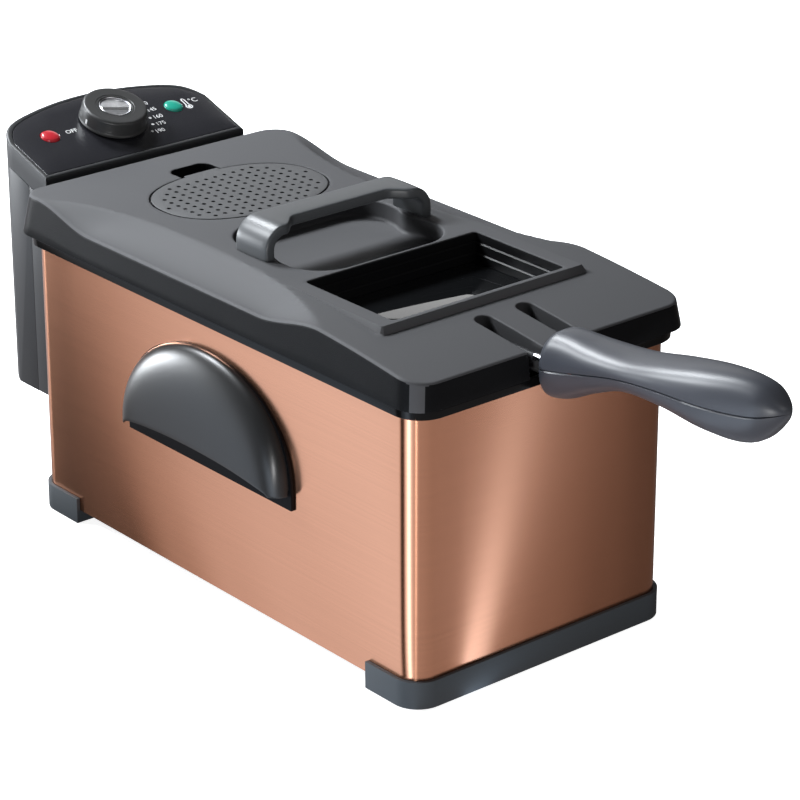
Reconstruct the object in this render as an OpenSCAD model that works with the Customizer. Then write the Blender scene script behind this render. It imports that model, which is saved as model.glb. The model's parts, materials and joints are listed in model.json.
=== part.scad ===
/* [Housing] */
// Outer width of the steel housing
body_w = 200; // [185:1:220]
// Outer length of the steel housing
body_l = 380; // [360:1:400]
// Height of the upper edge of the housing above the table
body_top = 185; // [175:1:200]
// Gap between the table and the lower edge of the housing
body_lift = 9; // [8.5:0.5:12]
// Thickness of the housing sheet
sheet = 1; // [0.8:0.1:1.4]
// Outside radius of the upright corners of the housing
corner_r = 15; // [12:1:20]
// Thickness of the base plate
base_t = 2.5; // [2:0.5:4]

/* [Feet] */
// Height of a foot bar
foot_h = 18; // [15:1:24]
// How far a foot bar stands proud of the housing
foot_proud = 2.7; // [2:0.1:4]
// Length of a foot bar along the side of the housing
foot_len = 45; // [38:1:55]
// Radius of a rubber pad
pad_r = 9; // [6:0.5:10]
// Height of a rubber pad
pad_h = 3; // [2.5:0.5:5]
// How far a pad stands out below its foot bar
pad_show = 0.6; // [0.4:0.1:1.2]

/* [Side handles] */
// Centre of the side handles along the length of the housing
grip_y = 3.5; // [-10:0.5:15]
// Half the length of a side handle's shell
grip_half_l = 80; // [65:1:90]
// Height of the lower ends of a side handle's shell above the table
grip_z = 99; // [85:1:105]
// Height of a side handle's shell
grip_h = 69; // [55:1:75]
// How far a side handle stands out of the housing
grip_out = 16.5; // [13:0.5:24]
// Wall of a side handle's shell
grip_wall = 2.6; // [2:0.1:3.5]
// Thickness of a side handle's backing plate
plate_t = 2; // [1.5:0.1:3]
// How far the backing plate reaches below the shell
plate_drop = 9; // [6:0.5:14]
// Rise of the finger arch in the lower edge of the shell
arch_rise = 9; // [5:0.5:14]
// Radius of the screws that hold a side handle
handle_screw_r = 2; // [1.5:0.1:2.5]

/* [Oil pot] */
// Gap between the housing and the side walls of the pot
pot_side_gap = 12; // [9:0.5:18]
// Gap between the housing and the end walls of the pot
pot_end_gap = 14; // [12:0.5:18]
// Depth of the pot below its flange
pot_depth = 135; // [125:1:150]
// Wall of the pot
pot_wall = 1.2; // [1:0.1:2]
// Outside radius of the upright corners of the pot
pot_r = 30; // [24:1:36]
// How far the rim stands out past the sides of the housing
rim_side = 4.5; // [3:0.5:6]
// How far the rim stands out past the ends of the housing
rim_end = 6; // [4:0.5:7]
// Height of the rim bead
rim_h = 6; // [5:0.5:8]
// Thickness of the rim bead
rim_t = 3; // [2.5:0.1:4]

/* [Basket] */
// Gap between the pot and the sides of the basket
basket_side_gap = 9; // [7:0.5:14]
// Gap between the pot and the front of the basket
basket_front_gap = 8; // [6:0.5:14]
// Gap between the pot and the rear of the basket
basket_rear_gap = 34; // [30:0.5:45]
// Height of the basket bottom above the pot bottom
basket_clear = 28; // [24:0.5:34]
// Height of the basket
basket_h = 86; // [70:1:92]
// Thickness of the wire mesh
mesh_t = 1.6; // [1.4:0.1:2.5]
// Radius of the basket's frame wire
frame_r = 2.5; // [2:0.1:3]
// Radius of the handle wires
wire_r = 2.3; // [1.8:0.1:2.8]
// Distance of each handle wire from the middle
wire_x = 16; // [14:0.5:19]
// Height of the handle wires above the rim of the pot
wire_up = 13; // [12:0.5:14.5]

/* [Basket grip] */
// Gap between the lid and the head of the grip
grip_gap = 1.5; // [1:0.5:6]
// Length of the basket grip
handle_l = 177; // [160:1:210]
// Half the width of the grip at its head
head_half_w = 20; // [19.5:0.5:24]
// Half the height of the grip at its head
head_half_h = 21; // [19:0.5:24]
// Radius of the screws in the grip
grip_screw_r = 1.6; // [1.2:0.1:2]

/* [Lid] */
// How far the lid stands out past the sides of the housing
lid_side = 8; // [6:0.5:10]
// How far the lid stands out past the ends of the housing
lid_end = 9.5; // [8:0.5:10.5]
// Gap between the rim bead and the lower edge of the lid
lid_gap = 1; // [0.8:0.1:1.2]
// Height of the lid's flat top above its lower edge
lid_h = 27.3; // [25:0.1:32]
// How much the lid narrows on each side towards its top
lid_draft = 4; // [2:0.5:6]
// Radius of the lid's corners
lid_r = 17; // [14:1:22]
// Wall of the lid
lid_wall = 2.6; // [2:0.1:3.5]
// How far the front deck falls below the flat top
deck_fall = 11.3; // [8:0.1:12]
// Depth of the hollows along the sides of the lid
scoop_drop = 10.5; // [6:0.5:12]
// Half the width of the flat top at its narrowest
waist = 75; // [70:1:82]
// Thickness of the lid's liner
liner_t = 1.5; // [1.2:0.1:2.5]

/* [Window] */
// Width of the window opening
win_w = 134; // [110:1:138]
// Length of the window opening
win_l = 81; // [60:1:84]
// Place of the window's front edge along the length
win_front = -131; // [-134:1:-126]
// Thickness of the glass
glass_t = 3; // [2:0.5:4]
// Depth of the glass below the window frame
glass_depth = 18.5; // [15:0.5:19]
// How far the glass and its clamp reach past the opening
glass_lap = 4; // [3:0.5:5]
// Width of the frame's sides round the window
frame_side = 11; // [8:0.5:13]

/* [Lid handle] */
// Half the span of the lid handle
strap_half = 65.5; // [60:0.5:70]
// Height of the lid handle above the flat top
strap_h = 21; // [20:0.5:30]
// Thickness of the lid handle
strap_t = 7; // [5:0.5:9]
// Width of the lid handle at its legs
strap_w = 31; // [24:0.5:34]
// Width of the lid handle at its middle
strap_mid_w = 21; // [16:0.5:22]
// Rear edge of the lid handle along the length
strap_y = 20; // [16:0.5:24]
// Depth of the hand hollow under the lid handle
dish_depth = 12; // [8:0.5:13]

/* [Steam filter] */
// Half the width of the filter cover
cover_half_w = 60; // [50:0.5:60]
// Half the length of the filter cover
cover_half_l = 43; // [36:0.5:45]
// Distance of the filter cover's centre to the right of the lid's middle
cover_x = 2; // [0:0.5:2]
// Distance of the filter cover's centre from the rear edge of the lid
cover_back = 96.5; // [93.5:0.5:97.5]
// Thickness of the filter cover
cover_t = 2.4; // [2:0.1:3]
// Gap round the filter cover
cover_gap = 1; // [0.8:0.1:1.5]
// Radius of a steam hole
hole_r = 1.4; // [1:0.1:1.8]
// Distance between steam holes
hole_pitch = 7.3; // [6:0.1:10]
// Thickness of the filter mat
mat_t = 5; // [3:0.5:6]

/* [Control unit] */
// Width of the control unit
unit_w = 160; // [140:1:170]
// Length of the control unit's straight sides
unit_side_l = 42; // [38:1:48]
// Length of the control unit in its middle
unit_l = 71.5; // [66:0.5:80]
// How much the rear of the control unit bows
unit_arc = 16; // [8:0.5:20]
// Gap between the lid and the control unit
unit_gap = 1.5; // [1:0.5:3]
// Height of the control unit's lower end above the table
unit_z = 65; // [55:1:80]
// Radius at the control unit's rear lower edge
unit_r = 34; // [25:1:38]
// Wall of the control unit
unit_wall = 2.4; // [2:0.1:3]
// Slope of the control panel in degrees
panel_tilt = 18; // [14:1:22]
// Height of the control panel's front edge above the lid's flat top
panel_up = 0; // [-1:0.5:3]
// Thickness of the control panel
panel_t = 2; // [1.5:0.1:3]
// Radius of the dial
dial_r = 22; // [18:0.5:24]
// Height of the dial
dial_h = 11.5; // [10:0.5:14]
// Distance of each lens from the middle
lens_x = 50; // [46:0.5:54]
// Radius of a lens
lens_r = 6.5; // [5:0.5:8]

/* [Heating] */
// Radius of the heating element's tube
heater_r = 4; // [3:0.1:4.5]
// Distance of the heater's long runs from the middle
heater_x = 45; // [40:1:48]
// Height of the heater above the pot bottom
heater_up = 12; // [9:0.5:13]
// Radius of the sensor bulb
bulb_r = 3; // [2.5:0.1:3.5]

/* [Clearances] */
// Gap between pieces that slide past each other
slide_gap = 0.4; // [0.3:0.05:0.5]
// Radial gap of a turning fit
turn_gap = 0.06; // [0.04:0.01:0.08]
// Gap between pieces of one body
fit_gap = 0.2; // [0.1:0.05:0.3]

/* [Hidden] */
$fn = 48;

hx = body_w / 2;
hy = body_l / 2;
eps = 0.01;
bore_fn = 24;
far = 400;
hull_fn = 32;

// Feet
foot_z = pad_show;
pad_inset = 24;
base_z = body_lift;

// Pot
pot_hx = hx - sheet - pot_side_gap;
pot_hy = hy - sheet - pot_end_gap;
pot_floor = body_top - pot_depth;
rim_top = body_top + rim_h;
rim_hx = hx + rim_side;
rim_hy = hy + rim_end;
rim_r = corner_r + rim_side;
flange_t = 1.2;

// Lid
lid_z = rim_top + lid_gap;
lid_top = lid_z + lid_h;
lid_hx = hx + lid_side;
lid_hy = hy + lid_end;
crest_hx = lid_hx - lid_draft;
liner_gap = 0.5;
deck_start = -50;
deck_run = lid_hy + deck_start;
scoop_mid = 34;
scoop_reach = 146;
rear_fall = 2.3;
rear_start = 120;

// Window
win_y = win_front + win_l / 2;
frame_front = 3.5;
frame_rear = 6;
frame_bevel = 5;
glass_top = lid_top - glass_depth;
seal_t = 1.6;

// Lid handle and hand hollow
dish_half_w = strap_half - strap_t - 1;
dish_half_l = 48;
dish_y = 1;
dish_r = 26;
strap_r = 15;
strap_flare = 17;
strap_taper = 10;
lid_screw_x = strap_half - strap_t / 2;
lid_screw_y = strap_y - strap_w / 2;
lid_boss_r = 7;
lid_boss_h = 10;
lid_post_r = 4;
screw_head_h = 2;
lid_screw_r = 2;
lid_screw_head_r = 3.2;

// Filter
cover_y = lid_hy - cover_back;
pocket_z = lid_top - 9.5;
ledge = 2.5;
tab_half_w = 14.5;
tab_l = 17;
tab_x = 4 - cover_x;
tab_r = 8;
tab_bar = 3.5;
cover_square = 2.3;
hole_edge = 5;
hole_shift = 1.5;
outlet_half = [cover_half_w - 17, cover_half_l - 15];

// Slots for the handle wires
slot_half = 6;
slot_end = -147;
slot_l = 80;
wire_z = rim_top + wire_up;
basket_hx = pot_hx - pot_wall - basket_side_gap;
basket_front = -(pot_hy - pot_wall - basket_front_gap);
basket_rear = pot_hy - pot_wall - basket_rear_gap;
basket_l = basket_rear - basket_front;
basket_mid = (basket_rear + basket_front) / 2;
basket_z = pot_floor + basket_clear;
basket_top = basket_z + basket_h;
basket_r = pot_r - basket_side_gap;

// Grip: each row is [share of length, half width and half height as shares of the head's, rise]
grip_start = -(lid_hy + grip_gap);
grip_rows = [
    [0.00, 1.00, 1.00, -5.5],
    [0.08, 0.93, 0.95, -3.4],
    [0.20, 0.96, 0.71, 2.0],
    [0.36, 0.96, 0.51, 8.4],
    [0.54, 1.03, 0.64, 12.4],
    [0.72, 0.98, 0.87, 13.4],
    [0.88, 0.74, 0.87, 15.2],
    [1.00, 0.50, 0.40, 19.9]];
grip_rings = 22;
grip_tip_r = 16;
grip_head_r = 6;
grip_square = 0.8;
wire_in_grip = 30;
grip_sides = 24;

// Control unit
unit_hx = unit_w / 2;
unit_corner = 14;
unit_y = lid_hy + unit_gap;
low_y = rim_hy + 0.8;
panel_z = lid_top + panel_up;
unit_top_rear = panel_z + unit_l * tan(panel_tilt);
cap_h = 17;
cap_frame = 3;
split_y = unit_y + 20;
step_z = body_top - 6;
dial_y = unit_y + 38;
panel_mid = [0, dial_y, panel_z + (dial_y - unit_y) * tan(panel_tilt)];
shaft_r = 3;
dial_skirt = 1.2;
insert_t = 4;
therm_r = 20;
therm_h = 18;
rail_x = 62;
rail_w = 8;
rail_bite = 5;
rail_d = low_y - hy + rail_bite;
rail_z = unit_z + 20;
rail_h = 70;
rail_top = rail_z + rail_h;

// Heating
heat_z = pot_floor + heater_up;
heat_y = pot_hy - pot_wall - 14;
heat_bend = 16;
heat_front = basket_front + 20 + heater_x;
bracket_hx = heater_x + 9;
bracket_t = 1.5;
bracket_z = rim_top + 1.8;
bracket_h = 7;
bracket_y = heat_y - heater_r - 4;
gland_z = unit_z + 65;
gland_x = 30;
gland_r = 7;
gland_bore = 3.75;
gland_len = 16;
gland_flange = 2.5;
gland_inside = 6;
gland_boss = 1.2;
gland_seat = unit_y + bow(gland_x / unit_hx) + gland_boss;
gland_y = gland_seat - gland_inside;
reset_x = -30;
reset_z = gland_z;
reset_r = 4;
reset_show = 3;
switch_x = 0;
switch_z = unit_z + 30;
switch_size = [20, 12, 16];
switch_travel = 3;
plunger_r = 1.6;
plunger_y = rim_hy + 0.5;
plunger_in = 7;
plunger_gap = 0.3;
striker_r = 4;
box_screw_r = 1.7;
box_screw_head_r = 3.2;
box_post_r = 4;
box_screw_x = 40;
box_screw_z = [unit_z + 38, unit_z + 104];

// The origin is on the table, under the middle of the whole part
front_reach = -grip_start + handle_l;
rear_reach = gland_y + gland_len;
mid_y = (rear_reach - front_reach) / 2;

module place() {
    translate([0, -mid_y, 0]) children();
}

// Rounded rectangle centred on the origin, from plain squares and circles
module rounded(w, l, r) {
    square([w - 2 * r, l], center = true);
    square([w, l - 2 * r], center = true);
    for (sx = [-1, 1], sy = [-1, 1])
        translate([sx * (w / 2 - r), sy * (l / 2 - r)]) circle(r);
}

// Upright rounded block
module block(w, l, h, r) {
    linear_extrude(h) rounded(w, l, r);
}

// Upright rounded tube with an even wall
module sleeve(w, l, h, r, wall) {
    linear_extrude(h) difference() {
        rounded(w, l, r);
        rounded(w - 2 * wall, l - 2 * wall, r - wall);
    }
}

// Pan-head screw along +Z with its head below the origin
module screw(r, len, head_r, head_h) {
    cylinder(r = r, h = len);
    translate([0, 0, -head_h]) cylinder(r = head_r, h = head_h);
}

// Housing and base
function side_screw_y() = [for (s = [-1, 1]) grip_y + s * grip_half_l * 0.55];
side_screw_z = grip_z + 14;

module housing_shell() {
    place() color([0.78, 0.5, 0.37]) difference() {
        translate([0, 0, body_lift]) sleeve(body_w, body_l, body_top - body_lift, corner_r, sheet);
        for (y = side_screw_y())
            translate([-hx - 1, y, side_screw_z]) rotate([0, 90, 0])
                cylinder(r = handle_screw_r + fit_gap, h = body_w + 2);
        for (s = [-1, 1])
            translate([s * rail_x, hy - sheet - 1, rail_z + rail_h / 2]) rotate([-90, 0, 0])
                cylinder(r = 2 + fit_gap, h = sheet + 2);
    }
}

module base_plate() {
    place() color([0.16, 0.16, 0.17]) difference() {
        translate([0, 0, base_z])
            block(body_w - 2 * sheet - 2 * fit_gap, body_l - 2 * sheet - 2 * fit_gap, base_t,
                corner_r - sheet - fit_gap);
        for (i = [-4:4])
            translate([i * 12, 0, base_z - 1]) rotate([0, 0, 90]) block(60, 4, base_t + 2, 1.9);
        base_holes(2 + fit_gap);
    }
}

module base_holes(r) {
    for (sx = [-1, 1], sy = [-1, 1])
        translate([sx * (hx - pad_inset - 22), sy * (hy - pad_inset), -1]) cylinder(r = r, h = 30);
}

// Foot bar at the front; the rear one is its mirror image
module foot_bar() {
    difference() {
        union() {
            intersection() {
                translate([0, 0, foot_z])
                    block(body_w + 2 * foot_proud, body_l + 2 * foot_proud, foot_h - foot_z,
                        corner_r + foot_proud);
                translate([-body_w, -hy - foot_proud - 1, 0])
                    cube([2 * body_w, foot_len + 1, foot_h]);
            }
        }
        translate([0, 0, base_z])
            block(body_w + 2 * fit_gap, body_l + 2 * fit_gap, foot_h, corner_r + fit_gap);
        for (s = [-1, 1])
            translate([s * (hx - pad_inset), -hy + pad_inset, 0])
                cylinder(r = pad_r + fit_gap, h = pad_h);
        for (s = [-1, 1])
            translate([s * (hx - pad_inset - 22), -hy + pad_inset, 0]) {
                cylinder(r = 2 + fit_gap, h = 30);
                translate([0, 0, -eps]) cylinder(r = 4 + fit_gap, h = foot_z + 3 + fit_gap);
            }
    }
}

module front_foot() {
    place() color([0.17, 0.18, 0.2]) foot_bar();
}

module rear_foot() {
    place() color([0.17, 0.18, 0.2]) mirror([0, 1, 0]) foot_bar();
}

module foot_pads() {
    place() color([0.08, 0.08, 0.09])
        for (sx = [-1, 1], sy = [-1, 1])
            translate([sx * (hx - pad_inset), sy * (hy - pad_inset), 0])
                cylinder(r = pad_r, h = pad_h);
}

module base_screws() {
    place() color([0.7, 0.7, 0.72])
        for (sx = [-1, 1], sy = [-1, 1])
            translate([sx * (hx - pad_inset - 22), sy * (hy - pad_inset), foot_z + 3])
                screw(2, base_z + base_t - foot_z - 1, 4, screw_head_h);
}

// Half-moon outline: point at angle a, for half length l and height h
function moon(a, l, h) = [l * cos(a), h * pow(sin(a), 0.86)];
// Height of the outline at a distance y from its middle
function moon_rim(y, l, h) = h * pow(max(0, 1 - pow(y / l, 2)), 0.43);
// Share of the full depth: full along the lower edge, nothing on the outline and at the two ends
function moon_depth(y, z, l, h) = let(u = min(1, z / max(eps, moon_rim(y, l, h))))
    (1 - moon_crown * pow(y / l, 2)) * sqrt(max(0, 1 - pow(u, 2.2)) * max(0, 1 - pow(abs(y) / l, moon_end)));
// Point of a half-moon dome at angle a and share t, standing out along +X
function moon_point(a, t, l, h, d) = let(p = t * moon(a, l, h), edge = t > 0.9999)
    [edge ? 0 : d * moon_depth(p[0], p[1], l, h), p[0], p[1]];

moon_steps = 24;
moon_rings = 9;
moon_end = 12;
moon_crown = 0.06;

// Solid half-moon dome with its flat back on X = 0 and its flat lower side on Z = 0
module moon_dome(l, h, d) {
    n = moon_steps + 1;
    front = [for (j = [1:moon_rings], i = [0:moon_steps])
        moon_point(180 * i / moon_steps, sin(90 * j / moon_rings), l, h, d)];
    back = [for (i = [0:moon_steps]) let(p = moon(180 * i / moon_steps, l, h)) [-1, p[0], p[1]]];
    points = concat([[d, 0, 0]], front, back, [[-1, 0, 0]]);
    last = len(points) - 1;
    low = concat([0], [for (j = [0:moon_rings - 1]) 1 + j * n], [1 + moon_rings * n], [last],
        [moon_rings * n + n], [for (j = [moon_rings - 1:-1:0]) 1 + j * n + moon_steps]);
    faces = concat(
        [for (i = [0:moon_steps - 1]) [0, 1 + i, 2 + i]],
        [for (j = [0:moon_rings - 1], i = [0:moon_steps - 1])
            [1 + j * n + i, 1 + (j + 1) * n + i, 2 + (j + 1) * n + i, 2 + j * n + i]],
        [for (i = [0:moon_steps - 1]) [last, 2 + moon_rings * n + i, 1 + moon_rings * n + i]],
        [low]);
    polyhedron(points = points, faces = faces, convexity = 4);
}

module side_shell() {
    depth = grip_out - plate_t;
    translate([-hx - plate_t, grip_y, grip_z]) mirror([1, 0, 0]) difference() {
        intersection() {
            moon_dome(grip_half_l, grip_h, depth);
            translate([0, -body_l, -1]) cube([grip_out * 2, 2 * body_l, grip_h * 2]);
        }
        difference() {
            translate([-1, 0, -eps])
                moon_dome(grip_half_l - grip_wall, grip_h - grip_wall, depth - grip_wall + 1);
            for (y = side_screw_y())
                translate([0, y - grip_y, side_screw_z - grip_z]) rotate([0, 90, 0])
                    cylinder(r = handle_screw_r + 2.5, h = grip_out, $fn = bore_fn);
        }
        translate([-1, 0, -eps]) scale([1, (grip_half_l - 7) / arch_rise, 1]) rotate([0, 90, 0])
            cylinder(r = arch_rise, h = grip_out * 2, $fn = 40);
        for (y = side_screw_y())
            translate([-1, y - grip_y, side_screw_z - grip_z]) rotate([0, 90, 0])
                cylinder(r = handle_screw_r + fit_gap, h = 1 + side_screw_bite, $fn = bore_fn);
    }
}
side_screw_bite = 7;

module side_plate() {
    n = 40;
    translate([-hx, grip_y, grip_z]) mirror([1, 0, 0]) difference() {
        rotate([90, 0, 90]) linear_extrude(plate_t) {
            polygon([for (i = [0:n]) moon(180 * i / n, grip_half_l + 2, grip_h)]);
            translate([-grip_half_l - 2, -plate_drop]) square([2 * grip_half_l + 4, plate_drop + eps]);
        }
        for (y = side_screw_y())
            translate([-1, y - grip_y, side_screw_z - grip_z]) rotate([0, 90, 0])
                cylinder(r = handle_screw_r + fit_gap, h = plate_t + 2);
    }
}

module left_handle_plate() {
    place() color([0.12, 0.12, 0.13]) side_plate();
}

module left_handle_shell() {
    place() color([0.2, 0.21, 0.23]) side_shell();
}

module right_handle_plate() {
    place() color([0.12, 0.12, 0.13]) mirror([1, 0, 0]) side_plate();
}

module right_handle_shell() {
    place() color([0.2, 0.21, 0.23]) mirror([1, 0, 0]) side_shell();
}

module side_handle_screws() {
    place() color([0.7, 0.7, 0.72])
        for (s = [0, 1], y = side_screw_y()) mirror([s, 0, 0])
            translate([-hx + sheet, y, side_screw_z]) rotate([0, -90, 0])
                screw(handle_screw_r, sheet + plate_t + side_screw_bite - 0.5, 2 * handle_screw_r,
                    screw_head_h);
}

// Rails on which the control unit slides down, and the stop that its safety switch meets
module rear_rails() {
    place() color([0.35, 0.35, 0.37])
        for (s = [-1, 1]) {
            translate([s * rail_x - rail_w / 2, hy, rail_z]) cube([rail_w, rail_d, rail_h]);
            translate([s * rail_x, hy - sheet - 3, rail_z + rail_h / 2]) rotate([-90, 0, 0])
                cylinder(r = 2, h = sheet + 4);
        }
    place() color([0.35, 0.35, 0.37]) translate([switch_x, hy, switch_z]) rotate([-90, 0, 0])
        cylinder(r = striker_r, h = plunger_y - plunger_gap - hy);
}

// Oil pot
module oil_pot() {
    place() color([0.05, 0.05, 0.06]) {
        difference() {
            translate([0, 0, pot_floor]) block(2 * pot_hx, 2 * pot_hy, pot_depth + flange_t, pot_r);
            translate([0, 0, pot_floor + pot_wall])
                block(2 * (pot_hx - pot_wall), 2 * (pot_hy - pot_wall), pot_depth + 10,
                    pot_r - pot_wall);
        }
        translate([0, 0, body_top]) difference() {
            block(2 * rim_hx, 2 * rim_hy, flange_t, rim_r);
            translate([0, 0, -1])
                block(2 * (pot_hx - pot_wall), 2 * (pot_hy - pot_wall), flange_t + 2, pot_r - pot_wall);
        }
        translate([0, 0, body_top]) sleeve(2 * rim_hx, 2 * rim_hy, rim_h, rim_r, rim_t);
    }
}

// Basket
module basket_mesh() {
    place() color([0.75, 0.76, 0.78]) translate([0, basket_mid, basket_z]) difference() {
        block(2 * basket_hx, basket_l, basket_h, basket_r);
        translate([0, 0, mesh_t])
            block(2 * (basket_hx - mesh_t), basket_l - 2 * mesh_t, basket_h, basket_r - mesh_t);
    }
}

// Frame wire that rests on the top of the mesh
module basket_frame() {
    place() color([0.8, 0.81, 0.83]) translate([0, basket_mid, basket_top])
        sleeve(2 * (basket_hx + frame_r - mesh_t / 2), basket_l + 2 * frame_r - mesh_t, 2 * frame_r,
            basket_r + frame_r - mesh_t / 2, 2 * frame_r);
}

// Two wires from the frame up to the height of the grip and out through the lid's slots
module handle_wires() {
    bend = 10;
    low = basket_top + 2 * frame_r;
    y0 = basket_front + mesh_t / 2;
    place() color([0.85, 0.86, 0.88])
        for (s = [-1, 1]) translate([s * wire_x, 0, 0]) {
            translate([0, y0, low]) cylinder(r = wire_r, h = wire_z - bend - low);
            translate([0, y0 - bend, wire_z - bend]) rotate([90, 0, 90])
                rotate_extrude(angle = 90) translate([bend, 0]) circle(wire_r);
            translate([0, y0 - bend, wire_z]) rotate([90, 0, 0])
                cylinder(r = wire_r, h = y0 - bend - grip_start + wire_in_grip);
            translate([0, -(pot_hy + 6), body_top + flange_t + 0.3])
                cylinder(r = wire_r - 0.3, h = wire_z - body_top - flange_t - 0.3);
        }
}

// Slope of column k of the grip's rows at row i, from the rows on both sides
function grip_slope(i, k) = let(a = max(0, i - 1), b = min(len(grip_rows) - 1, i + 1))
    (grip_rows[b][k] - grip_rows[a][k]) / (grip_rows[b][0] - grip_rows[a][0]);
// Index of the last row that starts at or before share t
function grip_row(t) = min(len(grip_rows) - 2, max([for (i = [0:len(grip_rows) - 1])
    grip_rows[i][0] <= t ? i : 0]));
// Smooth value of column k at share t: a cubic through the rows
function grip_value(t, k) = let(i = grip_row(t), h = grip_rows[i + 1][0] - grip_rows[i][0],
    u = (t - grip_rows[i][0]) / h)
    grip_rows[i][k] * (2 * u * u * u - 3 * u * u + 1) + grip_rows[i + 1][k] * (3 * u * u - 2 * u * u * u)
    + grip_slope(i, k) * h * (u * u * u - 2 * u * u + u) + grip_slope(i + 1, k) * h * (u * u * u - u * u);
// Share of the full section that is left near the round tip and the soft edge of the head
function grip_round(d, r, low) = d >= r ? 1 : low + (1 - low) * sqrt(max(0, 1 - pow((r - d) / r, 2)));
function grip_scale(t) = grip_round((1 - t) * handle_l, grip_tip_r, 0.04)
    * grip_round(t * handle_l, grip_head_r, 0.82);
// Shares at which the rings lie: even along the bar and closer towards the tip
function grip_share(j) = let(v = j / grip_rings) v < 0.7 ? v * 0.92 / 0.7 : 1 - 0.08 * pow((1 - v) / 0.3, 2);

// Point of the grip's surface at share t and angle a, with a squarish round section
function grip_point(t, a) = let(
    c = cos(a), s = sin(a), k = grip_scale(t),
    x = head_half_w * grip_value(t, 1) * k * sign(c) * pow(abs(c), grip_square),
    z = head_half_h * grip_value(t, 2) * k * sign(s) * pow(abs(s), grip_square))
    [x, grip_start - t * handle_l, wire_z + grip_value(t, 3) + z];

module grip_half(up) {
    n = grip_sides / 2 + 1;
    m = grip_rings + 1;
    pts = [for (j = [0:grip_rings], i = [0:n - 1])
        grip_point(grip_share(j), (up ? 0 : 180) + 180 * i / (n - 1))];
    faces = concat(
        [[for (i = [n - 1:-1:0]) i]],
        [[for (i = [0:n - 1]) (m - 1) * n + i]],
        [for (j = [0:m - 2], i = [0:n - 2])
            [j * n + i, j * n + i + 1, (j + 1) * n + i + 1, (j + 1) * n + i]],
        [for (j = [0:m - 2]) [j * n + n - 1, j * n, (j + 1) * n, (j + 1) * n + n - 1]]);
    polyhedron(points = pts, faces = faces, convexity = 4);
}

module grip_bores(extra) {
    for (s = [-1, 1])
        translate([s * wire_x, grip_start + 1, wire_z]) rotate([90, 0, 0])
            cylinder(r = wire_r + extra, h = wire_in_grip + 2, $fn = 32);
}

module grip_upper() {
    place() color([0.19, 0.2, 0.22]) difference() {
        grip_half(true);
        grip_bores(fit_gap);
        grip_screw_holes();
    }
}

module grip_lower() {
    place() color([0.19, 0.2, 0.22]) difference() {
        grip_half(false);
        grip_bores(fit_gap);
        grip_screw_holes();
    }
}

grip_screw_shares = [0.3, 0.8];
grip_screw_drop = 7;
grip_screw_len = 13;

// Places a child on the grip's middle at each of its screws
module at_grip_screws() {
    for (t = grip_screw_shares)
        translate([0, grip_start - t * handle_l, wire_z + grip_value(t, 3) - grip_screw_drop]) children();
}

module grip_screw_holes() {
    at_grip_screws() {
        cylinder(r = grip_screw_r + fit_gap, h = grip_screw_len + 1, $fn = bore_fn);
        translate([0, 0, -2 * head_half_h])
            cylinder(r = 2 * grip_screw_r + fit_gap, h = 2 * head_half_h + eps, $fn = bore_fn);
    }
}

module grip_screws() {
    place() color([0.7, 0.7, 0.72]) at_grip_screws()
        screw(grip_screw_r, grip_screw_len, 2 * grip_screw_r, screw_head_h);
}

// Lid: height of the deck along the length
function deck(y) = lid_top
    - (y < deck_start ? let(s = (deck_start - y) / deck_run) deck_fall * (0.25 * s + 0.75 * s * s) : 0)
    - (y > rear_start ? rear_fall * pow((y - rear_start) / (lid_hy - rear_start), 2) : 0);
// Half the width of the flat top at a place along the length
function top_half(y) = let(t = abs(y - scoop_mid) / scoop_reach)
    min(crest_hx, waist + (crest_hx - waist) * pow(t, 2.6));
function smooth(t) = let(u = max(0, min(1, t))) u * u * (3 - 2 * u);
// Depth of the side hollow at the crest
function scoop(y) = scoop_drop * smooth((1 - abs(y - scoop_mid) / scoop_reach) / 0.42);
// Height of the lid at a place
function lid_height(x, y) = let(
    w = top_half(y), u = max(0, (abs(x) - w) / max(0.01, crest_hx - w)))
    deck(y) - scoop(y) * (1 - pow(1 - min(1, u), 1.6));

field_rows = 44;
field_half = 6;
field_over = 12;
// Columns of the height field: the flat top, the hollow's steps, the crest and a margin
function field_x(k, y) = let(s = sign(k), i = abs(k), w = top_half(y))
    s * (i == 0 ? 0 : i <= field_half ? w + (crest_hx - w) * (i - 1) / (field_half - 1)
        : lid_hx + field_over);
function field_y(j) = -lid_hy - field_over + j * 2 * (lid_hy + field_over) / field_rows;

// Solid under the lid's upper surface, lowered by drop
module lid_field(drop, z0) {
    cols = 2 * (field_half + 1) + 1;
    top = [for (j = [0:field_rows], k = [-field_half - 1:field_half + 1])
        let(y = field_y(j), x = field_x(k, y)) [x, y, lid_height(x, y) - drop]];
    x1 = lid_hx + field_over;
    y1 = lid_hy + field_over;
    base = [for (j = [0:field_rows], k = [-field_half - 1:field_half + 1])
        let(y = field_y(j)) [field_x(k, y), y, z0]];
    count = (field_rows + 1) * cols;
    faces = concat(
        [for (j = [0:field_rows - 1], k = [0:cols - 2], t = [0, 1])
            let(a = j * cols + k, b = a + 1, c = a + cols + 1, d = a + cols)
            t == 0 ? [a, c, b] : [a, d, c]],
        [for (j = [0:field_rows - 1], k = [0:cols - 2], t = [0, 1])
            let(a = count + j * cols + k, b = a + 1, c = a + cols + 1, d = a + cols)
            t == 0 ? [a, b, c] : [a, c, d]],
        [for (k = [0:cols - 2]) [k, k + 1, count + k + 1, count + k]],
        [for (k = [0:cols - 2]) let(a = field_rows * cols + k)
            [a + 1, a, count + a, count + a + 1]],
        [for (j = [0:field_rows - 1]) let(a = j * cols) [a + cols, a, count + a, count + a + cols]],
        [for (j = [0:field_rows - 1]) let(a = j * cols + cols - 1)
            [a, a + cols, count + a + cols, count + a]]);
    polyhedron(points = concat(top, base), faces = faces, convexity = 6);
}

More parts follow.
